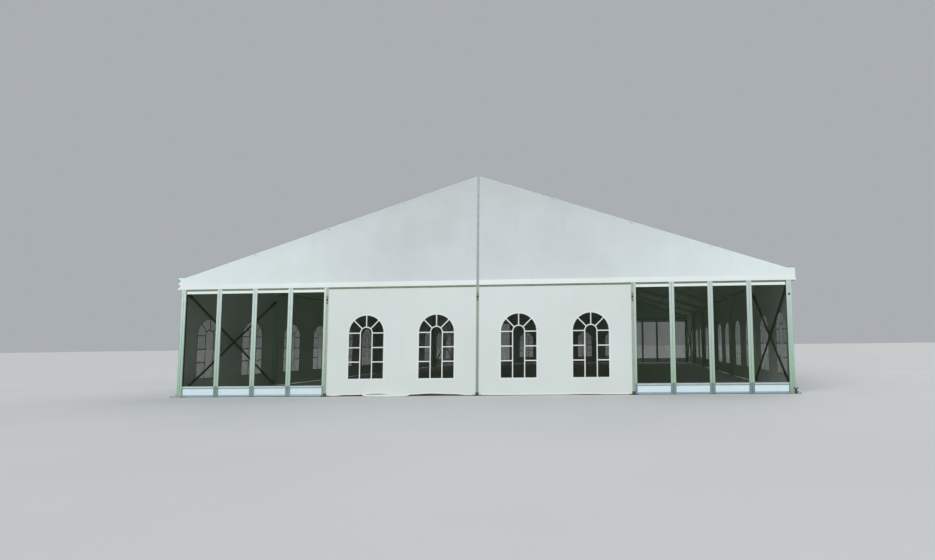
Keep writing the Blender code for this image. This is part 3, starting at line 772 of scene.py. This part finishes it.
def add_post_foot(piece, x, side):
    """A post's ground plate, with a shoe on its sides and its face, a bolt and four pegs."""
    middle, face = side * (POST_FACE_Y - LEG_DEPTH / 2), side * POST_FACE_Y
    shoe_half, shoe_head = 0.07, BASE_THICK + 0.09
    face_half, face_plate, bolt_z = 0.053, side * (POST_FACE_Y + 0.006), BASE_THICK + 0.05
    add_plate(piece, x, middle, POST_BASE_HALF, POST_BASE_HALF, DARK_STEEL)
    for hand in (-1, 1):
        inner = x + hand * SHOE_INNER
        far = (inner + hand * SHOE_THICK, middle + shoe_half, shoe_head)
        piece.box((inner, middle - shoe_half, BASE_THICK), far, DARK_STEEL)
    piece.box((x - face_half, face, BASE_THICK), (x + face_half, face_plate, shoe_head), DARK_STEEL)
    piece.bolt((x, face_plate, bolt_z), (0, side, 0), 0.024)
    hole = 0.11
    holes = [(hole_x, hole_y) for hole_y in (-hole, hole) for hole_x in (-hole, hole)]
    add_pegs(piece, x, middle, holes, [(0.011, 0.0), (0.011, 0.012), (0.023, 0.014), (0.020, 0.026)])


def add_head_track(piece, low, high, side):
    """The profile under the gable sheet's hem, dark partly in its own colour and partly with painted shade
    from the hem.
    """
    near, far = side * (END_FACE_Y + 0.0015), side * (POST_FACE_Y - LET_IN)
    piece.box((low, near, HEM_Z - 0.062), (high, far, HEM_Z + 0.004), SHADED_TRACK_METAL, 0.001)


def add_gable_rail(piece, side):
    """The level rail from leg to post to post to leg, with the profile under the hem, darkened with painted
    shade, where fabric walls hang.
    """
    half = FRAME_WIDTH / 2
    inner, outer = (half, POST_SPACING - half), (POST_SPACING + half, LEG_INNER_X)
    middle_z = RAIL_Z + RAIL_HEIGHT / 2
    face = side * (END_FACE_Y - 0.010)
    for low, high in ((-outer[1], -outer[0]), (-inner[1], -inner[0]), inner, outer):
        ends = [(low, face, middle_z), (high, face, middle_z)]
        piece.length(RAIL_SECTION, ends, UP, (0, -side, 0), LEVEL_METAL)
        if max(abs(low), abs(high)) < POST_SPACING:
            add_head_track(piece, low, high, side)


def add_ridge_strip(piece, side):
    """The ribbed strip over the joint between the two upper sheets."""
    half, edge, rib, valley = STRIP_WIDTH / 2, 0.0055, 0.0075, 0.0045
    section = mirrored([(-half, 0.0), (-half, edge), (-0.010, rib), (-0.006, valley)])
    y = side * (POST_FACE_Y + 0.0042)
    ends = [(0, y, HEM_Z - 0.01), (0, y, roof_z(half) - 0.012)]
    piece.length(section, ends, ALONG_X, (0, side, 0), STRIP_METAL)


def make_gable_posts(end, side):
    """The uprights of one gable with their feet, the rail between them and the strip over the joint."""
    piece = Piece(f"{end}_uprights")
    for number in (-1, 0, 1):
        x = number * POST_SPACING
        top = roof_z(abs(x) + FRAME_WIDTH / 2) - LEG_DEPTH / math.cos(PITCH) - 0.001
        ends = [(x, side * POST_FACE_Y, z) for z in (BASE_THICK, top)]
        metal = SIDE_POST_METAL if number else RIDGE_POST_METAL
        piece.length(POST_SECTION, ends, ALONG_X, (0, -side, 0), metal)
        add_post_foot(piece, x, side)
        add_latch(piece, x, side, LATCH_HEIGHTS[number])
    add_gable_rail(piece, side)
    add_ridge_strip(piece, side)
    return piece.finish("aluminium", [f"{end}_gable_posts"])


# Upper gable sheets

SCALLOP_DEPTH = {-1: 0.095, 1: 0.020}  # on the left and on the right, seen from in front of each gable
FIXING_HEIGHTS = (HEM_Z + 0.030, (HEM_Z + EAVE_FLAT_Z) / 2, EAVE_FLAT_Z - 0.045)
OUTLINE_STEPS = 24
FABRIC_MESH = 0.11  # the size of the triangles in a sheet or wall
HEM_DEPTH = 0.165
SEAM_PLACES = (2.5, 5.0, 7.5)
SEAM_HALF = 0.020
BORDER_DROP = 0.024  # of a border's upper edge under the roof line
BORDER_DEPTH = 0.050
GABLE_SWELL = 0.020
GABLE_CREASE = 0.0025
HEM_SWELL = 0.004


def gable_outline(hand, depth):
    """Half a gable, with an outer edge that is drawn in this deep between its three fixings."""
    strip_lap, head_gap, full_run = 0.006, 0.020, 0.15  # a shorter run between fixings is drawn in less
    near = STRIP_WIDTH / 2 - strip_lap
    low, high = HEM_Z, EAVE_FLAT_Z - head_gap
    stops = (low, *FIXING_HEIGHTS, high)
    edge = []
    for step in range(OUTLINE_STEPS + 1):
        z = low + (high - low) * step / OUTLINE_STEPS
        below = max((stop for stop in stops if stop <= z + 1e-9), default=low)
        above = min((stop for stop in stops if stop > z + 1e-9), default=high)
        share = (z - below) / max(above - below, 1e-6)
        run = min(1.0, (above - below) / full_run)
        edge.append((EAVE_X - depth * run * math.sin(math.pi * share), z))
    loop = [(near, low)] + edge + [(FLAT_START_X, high), (near, roof_z(near) - head_gap)]
    return loop if hand > 0 else [(-x, z) for x, z in reversed(loop)]


def gable_surface(side, seed):
    """The upper sheet over its posts, rail and rafters: it swells out between them and hangs at its foot."""
    wander = ripple(seed, 1.1, 3.5)
    creases = ripple(seed + 1, 0.35, 0.9)
    rail_reach, rafter_reach, hem_reach = 0.8, 0.9, 0.15  # how far into the sheet each edge is felt
    rafter_edge, hem_edge = 0.15, 0.12  # under the roof line, and over the rail's foot

    def place(x, z, out=0.0):
        from_post = abs(math.sin(math.pi * x / POST_SPACING))
        over_rail = ease((z - RAIL_Z - RAIL_HEIGHT) / rail_reach)
        under_rafter = ease((roof_z(x) - rafter_edge - z) / rafter_reach)
        swell = GABLE_SWELL * from_post * over_rail * under_rafter * (1.0 + 0.4 * wander(x))
        swell += GABLE_CREASE * (1 + creases(x + 0.5 * z)) * over_rail * under_rafter
        hanging = ease((RAIL_Z + hem_edge - z) / hem_reach)
        swell += HEM_SWELL * hanging * (1 + wander(1.3 * x))
        return Vector((x, side * (POST_FACE_Y + 0.0018 + swell + out), z))

    return place


def gable_seam(hand, x):
    """One upright seam, from the hem to just under the rafter."""
    near, far = x - SEAM_HALF, x + SEAM_HALF
    foot, drop = HEM_Z + 0.17, 0.05
    head = [(hand * far, roof_z(far) - drop), (hand * near, roof_z(near) - drop)]
    return [(hand * near, foot), (hand * far, foot), *head]


def make_gable_sheet(end, side, where, hand):
    place = gable_surface(side, 11 + 2 * side)
    depth = SCALLOP_DEPTH[-side * hand]
    loop = gable_outline(hand, depth)
    name, nodes = f"{end}_gable_{where}", [f"{end}_gable_sheet_{where}"]
    sheet = cloth(name, [[loop]], place, GABLE_FABRIC, SHEET_THICK, FABRIC_MESH, 0.0, nodes)
    inner, outer = hand * (STRIP_WIDTH / 2 + BAND_GAP), hand * (EAVE_X - depth - 2 * BAND_GAP)
    band = rectangle(inner, outer, HEM_Z + BAND_GAP, HEM_Z + HEM_DEPTH)
    hem = patch(f"{name}_hem", [[band]], place, HEM_FABRIC, FABRIC_MESH)
    seams = [[gable_seam(hand, x)] for x in SEAM_PLACES]
    bands = patch(f"{name}_seams", seams, place, GABLE_FABRIC, FABRIC_MESH)
    corners = [(x, roof_z(x) - BORDER_DROP) for x in (inner, hand * FLAT_START_X)]
    edge = corners + [(x, z - BORDER_DEPTH) for x, z in reversed(corners)]
    border = patch(f"{name}_border", [[edge]], place, EDGE_FABRIC, FABRIC_MESH)
    fixings = make_gable_fixings(name, side, hand)
    abs(signed_area(loop))


def make_gable_fixings(name, side, hand):
    """Eyelets at the sheet's outer edge, with short straps that pull it round the eave's end."""
    piece = Piece(f"{name}_fixings")
    y = side * (POST_FACE_Y + 0.0035)
    inner = side * (END_FACE_Y - 0.06)
    strap = rectangle(-0.011, 0.011, -0.001, 0.001)
    for z in FIXING_HEIGHTS:
        eyelet = (hand * (EAVE_X - 0.022), y, z)
        piece.turned([(0.016, 0.0), (0.016, 0.002), (0.008, 0.003)], eyelet, (0, side, 0), ZINC_STEEL)
        points = [
            eyelet,
            (hand * (EAVE_X + 0.004), y - side * 0.006, z),
            (hand * (EAVE_X + 0.006), inner, z),
            (hand * (EAVE_X - 0.002), inner - side * 0.02, z),
        ]
        stations = []
        for number, point in enumerate(points):
            before = Vector(points[max(number - 1, 0)])
            after = Vector(points[min(number + 1, len(points) - 1)])
            along = (after - before).normalized()
            stations.append((Vector(point), UP, along.cross(UP).normalized()))
        piece.prism(strap, stations, TRIM_FABRIC)
    return piece.finish("wall_fabric")


# Walls with arched windows

LIGHT_BAR = 0.034
CENTRE_HALF = 0.195  # from the window's middle to the middle of an upright bar
BORDER = 0.045
FILM_LAP = 0.02
FOOT_BAND_Z = 0.072
WELT_HALF = 0.018
EDGE_WELT = (0.004, 0.044)  # how far from a wall's side its edge welt starts and ends
WELT_GAPS = (0.003, 0.004)  # from a welt's foot to the foot band, and from its head to the wall's
TRIM_MESH, FILM_MESH, FOOT_MESH, WELT_MESH = 0.09, 0.12, 0.05, 0.10  # the sizes of their triangles
CROSS_BARS = (1.10, 1.565)
SPRING_Z = WINDOW_SILL_Z + WINDOW_HEIGHT - WINDOW_WIDTH / 2
ARCH_STEPS = 28
WALL_HEAD_GAP = 0.004
WALL_SWELL = 0.005
GABLE_WALL_SLACK = 0.010
SIDE_WALL_SLACK = 0.015
RAISED_FOOT = 0.045


def arc(middle, radius, start, end, steps):
    """Points along an arc about the window's springing line."""
    points = []
    for step in range(steps + 1):
        angle = start + (end - start) * step / steps
        points.append((middle + radius * math.cos(angle), SPRING_Z + radius * math.sin(angle)))
    return points


def arched(middle, half, sill):
    """An upright opening with a round head."""
    return [(middle - half, sill), (middle + half, sill)] + arc(middle, half, 0.0, math.pi, ARCH_STEPS)


def window_lights(middle):
    """The clear parts between a window's bars."""
    half = WINDOW_WIDTH / 2
    bar = LIGHT_BAR / 2
    lights = [arched(middle, CENTRE_HALF - bar, WINDOW_SILL_Z)]
    levels = (WINDOW_SILL_Z - bar, *CROSS_BARS, SPRING_Z)
    for foot, head in zip(levels, levels[1:]):
        for side in (-1, 1):
            near, far = middle + side * (CENTRE_HALF + bar), middle + side * half
            lights.append(rectangle(near, far, foot + bar, head - bar))
    inner = CENTRE_HALF + bar
    for number in range(4):
        start, end = number * math.pi / 4, (number + 1) * math.pi / 4
        far_turn, near_turn = math.asin(bar / half), math.asin(bar / inner)
        outer_arc = arc(middle, half, start + far_turn, end - far_turn, 8)
        inner_arc = arc(middle, inner, end - near_turn, start + near_turn, 3)
        lights.append(outer_arc + inner_arc)
    return lights


def wall_surface(facing, face, low, high, top, seed, slack, raised=0.0):
    """A wall held in its posts and at its head, with soft folds and a loose foot, perhaps raised a little."""
    along, outward = facing
    folds, foot_folds, lifts = ripple(seed, 0.8, 2.4), ripple(seed + 1, 0.7, 2.2), ripple(seed + 2, 1.3, 4.0)
    side_reach, head_reach, foot_reach = 0.45, 0.6, 0.20  # how far into the wall each edge is felt

    def place(at, up, out=0.0):
        inset = min(at - low, high - at)
        held = ease(inset / side_reach)
        upper = ease((top - up) / head_reach)
        foot = math.exp(-up / foot_reach)
        loose = ease(inset / foot_reach) * slack * foot
        swell = held * upper * WALL_SWELL * (1.0 + folds(at + 0.25 * up)) + loose * 0.45 * foot_folds(at)
        lift = loose * max(0.0, lifts(at))
        lift += raised * foot * ease((inset - 0.25) / side_reach) * (1.0 + 0.25 * lifts(at))
        return along * at + outward * (face + out + swell) + Vector((0, 0, up + lift))

    return place


def make_wall(name, node, film_nodes, place, low, high, top, rests_on, loose=()):
    """A fabric wall with its hem, welded edges, window trims and film."""
    middle = (low + high) / 2
    centres = (middle - WINDOW_OFFSET, middle + WINDOW_OFFSET)
    holes = [arched(centre, WINDOW_WIDTH / 2, WINDOW_SILL_Z) for centre in centres]
    loops = [rectangle(low - KEDER_REACH, high + KEDER_REACH, SKIRT_Z, top)] + holes
    sheet = cloth(name, [loops], place, WALL_FABRIC, SHEET_THICK, FABRIC_MESH, 0.0, [node])
    trims, panes = [], []
    for centre in centres:
        border = arched(centre, WINDOW_WIDTH / 2 + BORDER, WINDOW_SILL_Z - BORDER)
        trims.append([border] + window_lights(centre))
        panes.append([arched(centre, WINDOW_WIDTH / 2 + FILM_LAP, WINDOW_SILL_Z - FILM_LAP)])
    trim = patch(f"{name}_window_trim", trims, place, TRIM_FABRIC, TRIM_MESH)
    film_name = f"{name}_film"
    film = cloth(film_name, panes, place, FILM, FILM_THICK, FILM_MESH, FILM_OUT, film_nodes)
    near, far = EDGE_WELT
    foot_band = rectangle(low + near, high - near, SKIRT_Z + BAND_GAP, FOOT_BAND_Z)
    foot = patch(f"{name}_foot", [[foot_band]], place, TRIM_FABRIC, FOOT_MESH)
    bands = ((low + near, low + far), (high - far, high - near), (middle - WELT_HALF, middle + WELT_HALF))
    welt_foot, welt_head = FOOT_BAND_Z + WELT_GAPS[0], top - WELT_GAPS[1]
    welts = [[rectangle(start, end, welt_foot, welt_head)] for start, end in bands]
    welt = patch(f"{name}_welts", welts, place, WALL_FABRIC, WELT_MESH)
    abs(signed_area(loops[0])) - sum(abs(signed_area(hole)) for hole in holes)


def make_ground_flap(name):
    """The part of the front left wall's flap that has come out over the ground."""
    middle, half, reach, steps = -2.95, 0.78, 0.21, 24
    rise, lift = 0.055, 0.004  # where it leaves the wall, and over the ground
    sweep = [math.pi * step / steps for step in range(steps + 1)]
    outer = [(middle - half * math.cos(angle), reach * math.sin(angle) ** 0.8 + 0.004) for angle in sweep]

    def place(x, reached, out=0.0):
        z = rise * (1 - min(1.0, reached / reach)) ** 2 + lift
        wrinkle = 0.004 * math.sin(9 * x) * reached / reach
        return Vector((x, FRONT * (WALL_MIDDLE_Y + 0.012 + reached), z + abs(wrinkle) + out))

    return cloth(name, [[outer]], place, TRIM_FABRIC, PATCH_THICK, FOOT_MESH, 0.0)


def make_gable_wall(end, side, where, hand):
    low, high = sorted((hand * FRAME_WIDTH / 2, hand * (POST_SPACING - FRAME_WIDTH / 2)))
    top = RAIL_Z - WALL_HEAD_GAP
    shown_loose = (side, hand) == (FRONT, LEFT)
    seed = 101 + 7 * side + 3 * hand
    raised = RAISED_FOOT if shown_loose else 0.0
    facing = (ALONG_X, Vector((0, side, 0)))
    place = wall_surface(facing, WALL_MIDDLE_Y, low, high, top, seed, GABLE_WALL_SLACK, raised)
    names = (f"{end}_fabric_wall_{where}", f"{end}_wall_{where}", [f"{end}_window_film_{where}"])
    flap = [make_ground_flap(f"{end}_flap")] if shown_loose else []
    make_wall(*names, place, low, high, top, [f"{end}_uprights"], flap)


def make_side_walls(where, hand):
    facing = (ALONG_Y, Vector((hand, 0, 0)))
    top = EAVE_BEAM_Z - WALL_HEAD_GAP
    for index in range(BAY_COUNT):
        low, high = bay_ends(index)
        seed = 301 + 20 * hand + index
        place = wall_surface(facing, SIDE_WALL_MIDDLE_X, low, high, top, seed, SIDE_WALL_SLACK)
        film_nodes = [f"{where}_window_film"] if index == 0 else []
        names = (f"{where}_fabric_wall_{index + 1}", f"{where}_wall_{index + 1}", film_nodes)
        make_wall(*names, place, low, high, top, [f"portal_{index + 1}", f"portal_{index + 2}"])


# Glazed bays

PANE_COUNT = 4
MULLION = 0.160
STILE_GAP = 0.006
CORNER_JAMB = 0.020
POST_JAMB = 0.066
GLASS_FRAME_DEPTH = 0.045
GLASS_LAP = 0.003
GASKET = 0.007
KICK_FOOT_Z = 0.080
KICK_HEAD_Z = 0.295
KICK_FACE_FOOT_Z = KICK_FOOT_Z - 0.008
KICK_FACE_HEAD_Z = KICK_HEAD_Z - 0.022
KICK_CAP_Z = KICK_HEAD_Z + 0.003
GLASS_FOOT_Z = 0.350
GLASS_HEAD_Z = 3.40
WALL_TOP_Z = 3.5997
LEVEL_BARS = (  # foot, head, how far set back, how far in from the sides, material, bevel
    (GLASS_HEAD_Z, WALL_TOP_Z - 0.002, 0.003, 0.0, HEAD_PANEL, 0.003),
    (KICK_CAP_Z, GLASS_FOOT_Z, 0.002, 0.0, SILL_METAL, 0.003),
    # A recessed rail in dark metal; its darkness is partly painted shade of the gap under the sill.
    (KICK_FACE_HEAD_Z, KICK_CAP_Z, 0.007, 0.0, FOOT_METAL, 0.001),
    (SKIRT_Z + 0.002, KICK_FACE_FOOT_Z, 0.003, 0.0, BASE_METAL, 0.003),
    (KICK_FACE_FOOT_Z, KICK_FACE_HEAD_Z, 0.009, 0.004, KICK_PANEL, 0.004),
)


def make_glazed_bay(end, side, where, hand):
    """Four framed lights in a row: stiles, head panel, sill, kick panel, gaskets and glass."""
    inner = HALF_SPAN - POST_SPACING + FRAME_WIDTH / 2
    outer = LEG_INNER_X
    first, last = inner + POST_JAMB, outer - CORNER_JAMB
    pane = (last - first - (PANE_COUNT - 1) * MULLION) / PANE_COUNT
    starts = [first + number * (pane + MULLION) for number in range(PANE_COUNT)]
    joints = [(start + pane + following) / 2 for start, following in zip(starts, starts[1:])]
    face = END_FACE_Y + 0.001
    back = face - GLASS_FRAME_DEPTH
    gasket_y, pane_front, pane_back = face - 0.010, face - 0.016, face - 0.024
    frames = Piece(f"{end}_glazing_{where}")
    glass = Piece(f"{end}_panes_{where}")

    def bar(x_from, x_to, z_from, z_to, set_back, material, bevel=0.003):
        low = (hand * x_from, side * (face - set_back), z_from)
        high = (hand * x_to, side * (back + 0.5 * set_back), z_to)
        frames.box(low, high, material, bevel)

    half_gap = STILE_GAP / 2
    edges = [inner + 0.001]
    for joint in joints:
        edges += [joint - half_gap, joint + half_gap]
    edges.append(outer - 0.001)
    for start, left, right in zip(starts, edges[::2], edges[1::2]):
        stop = start + pane
        for low_x, high_x in ((left, start), (stop, right)):
            beside_leg = high_x == edges[-1]
            # Beside the leg the stile is dark rubber, as painted shade for the shadowed inner side of the
            # leg.
            bar(low_x, high_x, GLASS_FOOT_Z, WALL_TOP_Z, 0.0, RUBBER if beside_leg else STILE_METAL)
            bar(low_x, high_x, SKIRT_Z, GLASS_FOOT_Z - 0.001, 0.0015, FOOT_METAL)
        for foot, head, set_back, inset, material, bevel in LEVEL_BARS:
            bar(start + inset, stop - inset, foot, head, set_back, material, bevel)
        add_gasket(frames, hand, side, gasket_y, start, stop)
        add_head_track(frames, hand * start, hand * stop, side)
        low = (hand * (start - GLASS_LAP), side * pane_front, GLASS_FOOT_Z - GLASS_LAP)
        high = (hand * (stop + GLASS_LAP), side * pane_back, GLASS_HEAD_Z + GLASS_LAP)
        glass.box(low, high, GLASS, 0.0015)
    for joint in joints:
        bar(joint - half_gap, joint + half_gap, SKIRT_Z, WALL_TOP_Z, 0.008, RUBBER)
    frames.finish("aluminium", [f"{end}_glass_frame_{where}"])
    glass.finish("glass", [f"{end}_glass_{where}"])


def add_gasket(piece, hand, side, y, start, stop):
    """A dark rubber seal round one light."""
    inner_start, inner_stop = start + GASKET, stop - GASKET
    runs = (
        (start, inner_start, GLASS_FOOT_Z, GLASS_HEAD_Z),
        (inner_stop, stop, GLASS_FOOT_Z, GLASS_HEAD_Z),
        (inner_start, inner_stop, GLASS_FOOT_Z, GLASS_FOOT_Z + GASKET),
        (inner_start, inner_stop, GLASS_HEAD_Z - GASKET, GLASS_HEAD_Z),
    )
    for low_x, high_x, foot, head in runs:
        piece.box((hand * low_x, side * y, foot), (hand * high_x, side * (y - 0.006), head), RUBBER, 0.001)


# Roof covers

COVER_DROP = 0.0045  # of the cover's middle layer under the roof line
COVER_HALF_WIDTH = (BAY_LENGTH - FRAME_WIDTH) / 2 + KEDER_REACH
COVER_COLUMNS = 36
SLOPE_STEPS = 76
SLOPE_END_X = FLAT_START_X - 0.02
VALANCE_X = EAVE_X - 0.0022
SAG = 0.022
EDGE_CREASE = 0.004
SWING = 0.010  # of the loose hem under the eave
COVER_SEAMS = (-0.965, 0.0, 0.965)
COVER_SEAM_HALF = 0.020 / COVER_HALF_WIDTH


def cover_path():
    """The points that a cover follows from one hem over the ridge to the other."""
    top = EAVE_FLAT_Z - COVER_DROP
    drop = COVER_DROP / math.cos(PITCH)
    half = [(VALANCE_X, HEM_Z + rise) for rise in (0.0, 0.10, 0.20, 0.30)]
    half += [(VALANCE_X, top - 0.020), (VALANCE_X - 0.006, top - 0.006), (VALANCE_X - 0.020, top)]
    half += [(FLAT_START_X + 0.03, top), (SLOPE_END_X, roof_z(SLOPE_END_X) - drop)]
    start = FLAT_START_X - 0.15
    for step in range(SLOPE_STEPS):
        x = start * (1 - step / SLOPE_STEPS)
        half.append((x, roof_z(x) - drop))
    return mirrored(half, [(0.0, RIDGE_Z - drop - 0.004)])


def cover_surface(index):
    """A cover stretched over the purlins: it dips between them and is drawn in small folds at its edges."""
    folds = ripple(501 + index, 0.28, 0.8)
    flutter = ripple(551 + index, 0.4, 1.4)
    middle = frame_y(index) + BAY_LENGTH / 2
    fold_start, fold_reach = 0.10, 0.35  # how far from a frame the folds grow, and how far they fade
    hem_reach = 0.25  # how far under the eave beam the hem is wholly loose

    def place(x, z, share, out=0.0):
        """share runs from -1 to 1 between the frames; out is along the upward or outward side."""
        y = middle + share * COVER_HALF_WIDTH
        if abs(x) < SLOPE_END_X:
            between = math.sin(math.pi * abs(x) / PURLIN_SPACING) ** 2
            dip = SAG * (1 - share**2) * between
            to_frame = (1 - abs(share)) * COVER_HALF_WIDTH
            near_edge = math.exp(-to_frame / fold_reach) * ease(to_frame / fold_start)
            crease = EDGE_CREASE * between * near_edge * folds(abs(x) + 3 * share)
            normal = Vector((math.copysign(math.sin(PITCH), x), 0, math.cos(PITCH)))
            return Vector((x, y, z)) + normal * (crease - dip + out)
        if z > EAVE_FLAT_Z - 0.015:
            return Vector((x, y, z + out))
        loose = ease((EAVE_BEAM_Z - z) / hem_reach) * (1 - share**4)
        swing = loose * SWING * (flutter(y) + 0.3)
        return Vector((x + math.copysign(1.0, x) * (out + swing), y, z))

    return place


def strip_grid(name, path, shares, place, material, thick, out, replaces=()):
    """A band of roof fabric along a path, as wide as its shares of the bay."""
    shape = bmesh.new()
    rows = [[shape.verts.new(place(x, z, share, out)) for share in shares] for x, z in path]
    for row, following in zip(rows, rows[1:]):
        for number in range(len(shares) - 1):
            shape.faces.new((row[number], row[number + 1], following[number + 1], following[number]))
    return thicken(name, shape, material, thick, replaces)


def make_roof_cover(index):
    path = cover_path()
    place = cover_surface(index)
    shares = [-1 + 2 * step / COVER_COLUMNS for step in range(COVER_COLUMNS + 1)]
    name = f"cover_{index + 1}"
    nodes = [f"roof_cover_{index + 1}"]
    cover = strip_grid(name, path, shares, place, ROOF_FABRIC, SHEET_THICK, 0.0, nodes)
    for number, centre in enumerate(COVER_SEAMS):
        seam = f"{name}_seam_{number + 1}"
        across = [centre - COVER_SEAM_HALF, centre, centre + COVER_SEAM_HALF]
        strip_grid(seam, path, across, place, TRIM_FABRIC, PATCH_THICK, PATCH_OUT)
    hem_shares = [share * 0.985 for share in shares]
    for where, hand in HANDS:
        hem = f"{name}_hem_{where}"
        hem_path = [(hand * VALANCE_X, HEM_Z + rise) for rise in (0.002, 0.03, 0.06)]
        strip_grid(hem, hem_path, hem_shares, place, TRIM_FABRIC, PATCH_THICK, 2 * PATCH_OUT)


# Bracing

BRACE_RADIUS = 0.035
BRACE_FOOT_Z = 0.16
BRACE_HEAD_Z = 3.47
LUG_HALF_LENGTH = 0.06
LUG_HALF_THICK = 0.007
BOLT_SHIFT = 0.034  # of a lug's bolt, from the end of its bar towards the leg
SLEEVE_LENGTH = 0.30
SLEEVE_PLACE = 0.55  # of an adjusting sleeve, from the foot of its bar
SLEEVE_END = (
    (BRACE_RADIUS, 0.0),
    (BRACE_RADIUS + 0.009, 0.012),
    (BRACE_RADIUS + 0.009, 0.045),
    (BRACE_RADIUS + 0.003, 0.055),
)
SLEEVE = [*SLEEVE_END, *((radius, SLEEVE_LENGTH - height) for radius, height in reversed(SLEEVE_END))]
FORK = [(BRACE_RADIUS, 0.0), (0.052, 0.018), (0.052, 0.26), (BRACE_RADIUS, 0.33)]


def add_brace_fittings(piece, foot, head):
    """The sleeve near a bar's foot, the fork at its head, and a bolt through each of its lugs."""
    run = (head - foot).normalized()
    piece.turned(SLEEVE, foot + run * SLEEVE_PLACE, run, BRACE_STEEL)
    piece.turned(FORK, head - run * 0.02, -run, BRACE_STEEL)
    for point, other in ((foot, head), (head, foot)):
        shift = math.copysign(BOLT_SHIFT, point.y - other.y)
        for across in (-1, 1):
            piece.bolt(point + Vector((across * LUG_HALF_THICK, shift, 0)), (across, 0, 0), 0.030)


def dress_braces():
    """Adjusting sleeves and end bolts on the crossed bars, whose own solids stay."""
    for end, side in ENDS:
        for where, hand in HANDS:
            node = f"{end}_brace_{where}"
            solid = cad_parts[node]
            solid.data.materials.clear()
            solid.data.materials.append(BRACE_STEEL)
            piece = Piece(f"{node}_fittings")
            x = hand * (HALF_SPAN - LEG_DEPTH / 2)
            near = side * (HALF_LENGTH - FRAME_WIDTH / 2 - LUG_HALF_LENGTH)
            far = side * (HALF_LENGTH - BAY_LENGTH + FRAME_WIDTH / 2 + LUG_HALF_LENGTH)
            for foot_y, head_y in ((near, far), (far, near)):
                foot, head = Vector((x, foot_y, BRACE_FOOT_Z)), Vector((x, head_y, BRACE_HEAD_Z))
                add_brace_fittings(piece, foot, head)
            piece.finish("brace_steel")


# Studio

CAMERA_PLACE = (4.734, -33.060, 1.600)
CAMERA_YAW, CAMERA_PITCH, CAMERA_ROLL = math.radians(-3.032), math.radians(4.837), math.radians(-0.630)
CAMERA_LENS = 21.766
CAMERA_SHIFT = (-0.1355, 0.0173)
SUNS = (  # name, heading, strength, and the width of its disc in degrees
    ("key", (0.35, 0.80, -0.62), 1.63, 50.0),
    ("rear_fill", (-0.5, -0.7, -0.8), 0.55, 60.0),
)


def pale_floor():
    finish = Finish("pale_floor", (0.66, 0.67, 0.66), 0.8)
    finish.tint(finish.noise(0.15, detail=4.0), 0.3, 0.7, (0.64, 0.65, 0.64), (0.68, 0.69, 0.68))
    shape = bmesh.new()
    bmesh.ops.create_grid(shape, x_segments=1, y_segments=1, size=400.0)
    floor = mesh_object("floor", shape, [finish.material])
    floor.location = (0, 0, -0.001)


def studio_light():
    """A soft pale sky, a broad key light from the camera's side and a weaker one from behind."""
    world = bpy.data.worlds.new("studio")
    world.use_nodes = True
    background = world.node_tree.nodes["Background"]
    background.inputs["Color"].default_value = (0.90, 0.95, 1.0, 1.0)
    background.inputs["Strength"].default_value = 0.45
    bpy.context.scene.world = world
    for name, heading, strength, width in SUNS:
        light = bpy.data.lights.new(name, "SUN")
        light.energy = strength
        light.angle = math.radians(width)
        lamp = put_in_scene(name, light)
        lamp.rotation_euler = Vector(heading).to_track_quat("-Z", "Y").to_euler()


def make_camera():
    """The photograph's viewpoint, as fitted to the part's own corners."""
    yaw, pitch, roll = CAMERA_YAW, CAMERA_PITCH, CAMERA_ROLL
    forward = Vector((math.sin(yaw) * math.cos(pitch), math.cos(yaw) * math.cos(pitch), math.sin(pitch)))
    level = Vector((math.cos(yaw), -math.sin(yaw), 0.0))
    upward = level.cross(forward)
    right = math.cos(roll) * level + math.sin(roll) * upward
    up = math.cos(roll) * upward - math.sin(roll) * level
    data = bpy.data.cameras.new("camera")
    data.sensor_width = 36.0
    data.lens = CAMERA_LENS
    data.shift_x, data.shift_y = CAMERA_SHIFT
    data.clip_end = 2000.0
    camera = put_in_scene("camera", data)
    facing = Matrix((right, up, -forward)).transposed().to_4x4()
    camera.matrix_world = Matrix.Translation(CAMERA_PLACE) @ facing
    bpy.context.scene.camera = camera


def main():
    make_camera()
    studio_light()
    pale_floor()
    bpy.context.scene.view_settings.view_transform = "Standard"
    for index in range(BAY_COUNT + 1):
        make_frame(index)
    for index in range(BAY_COUNT):
        make_roof_cover(index)
    for end, side in ENDS:
        make_gable_posts(end, side)
        for make in (make_gable_sheet, make_gable_wall, make_glazed_bay):
            for where, hand in HANDS:
                make(end, side, where, hand)
    for where, hand in HANDS:
        make_side_walls(where, hand)
    dress_braces()


main()
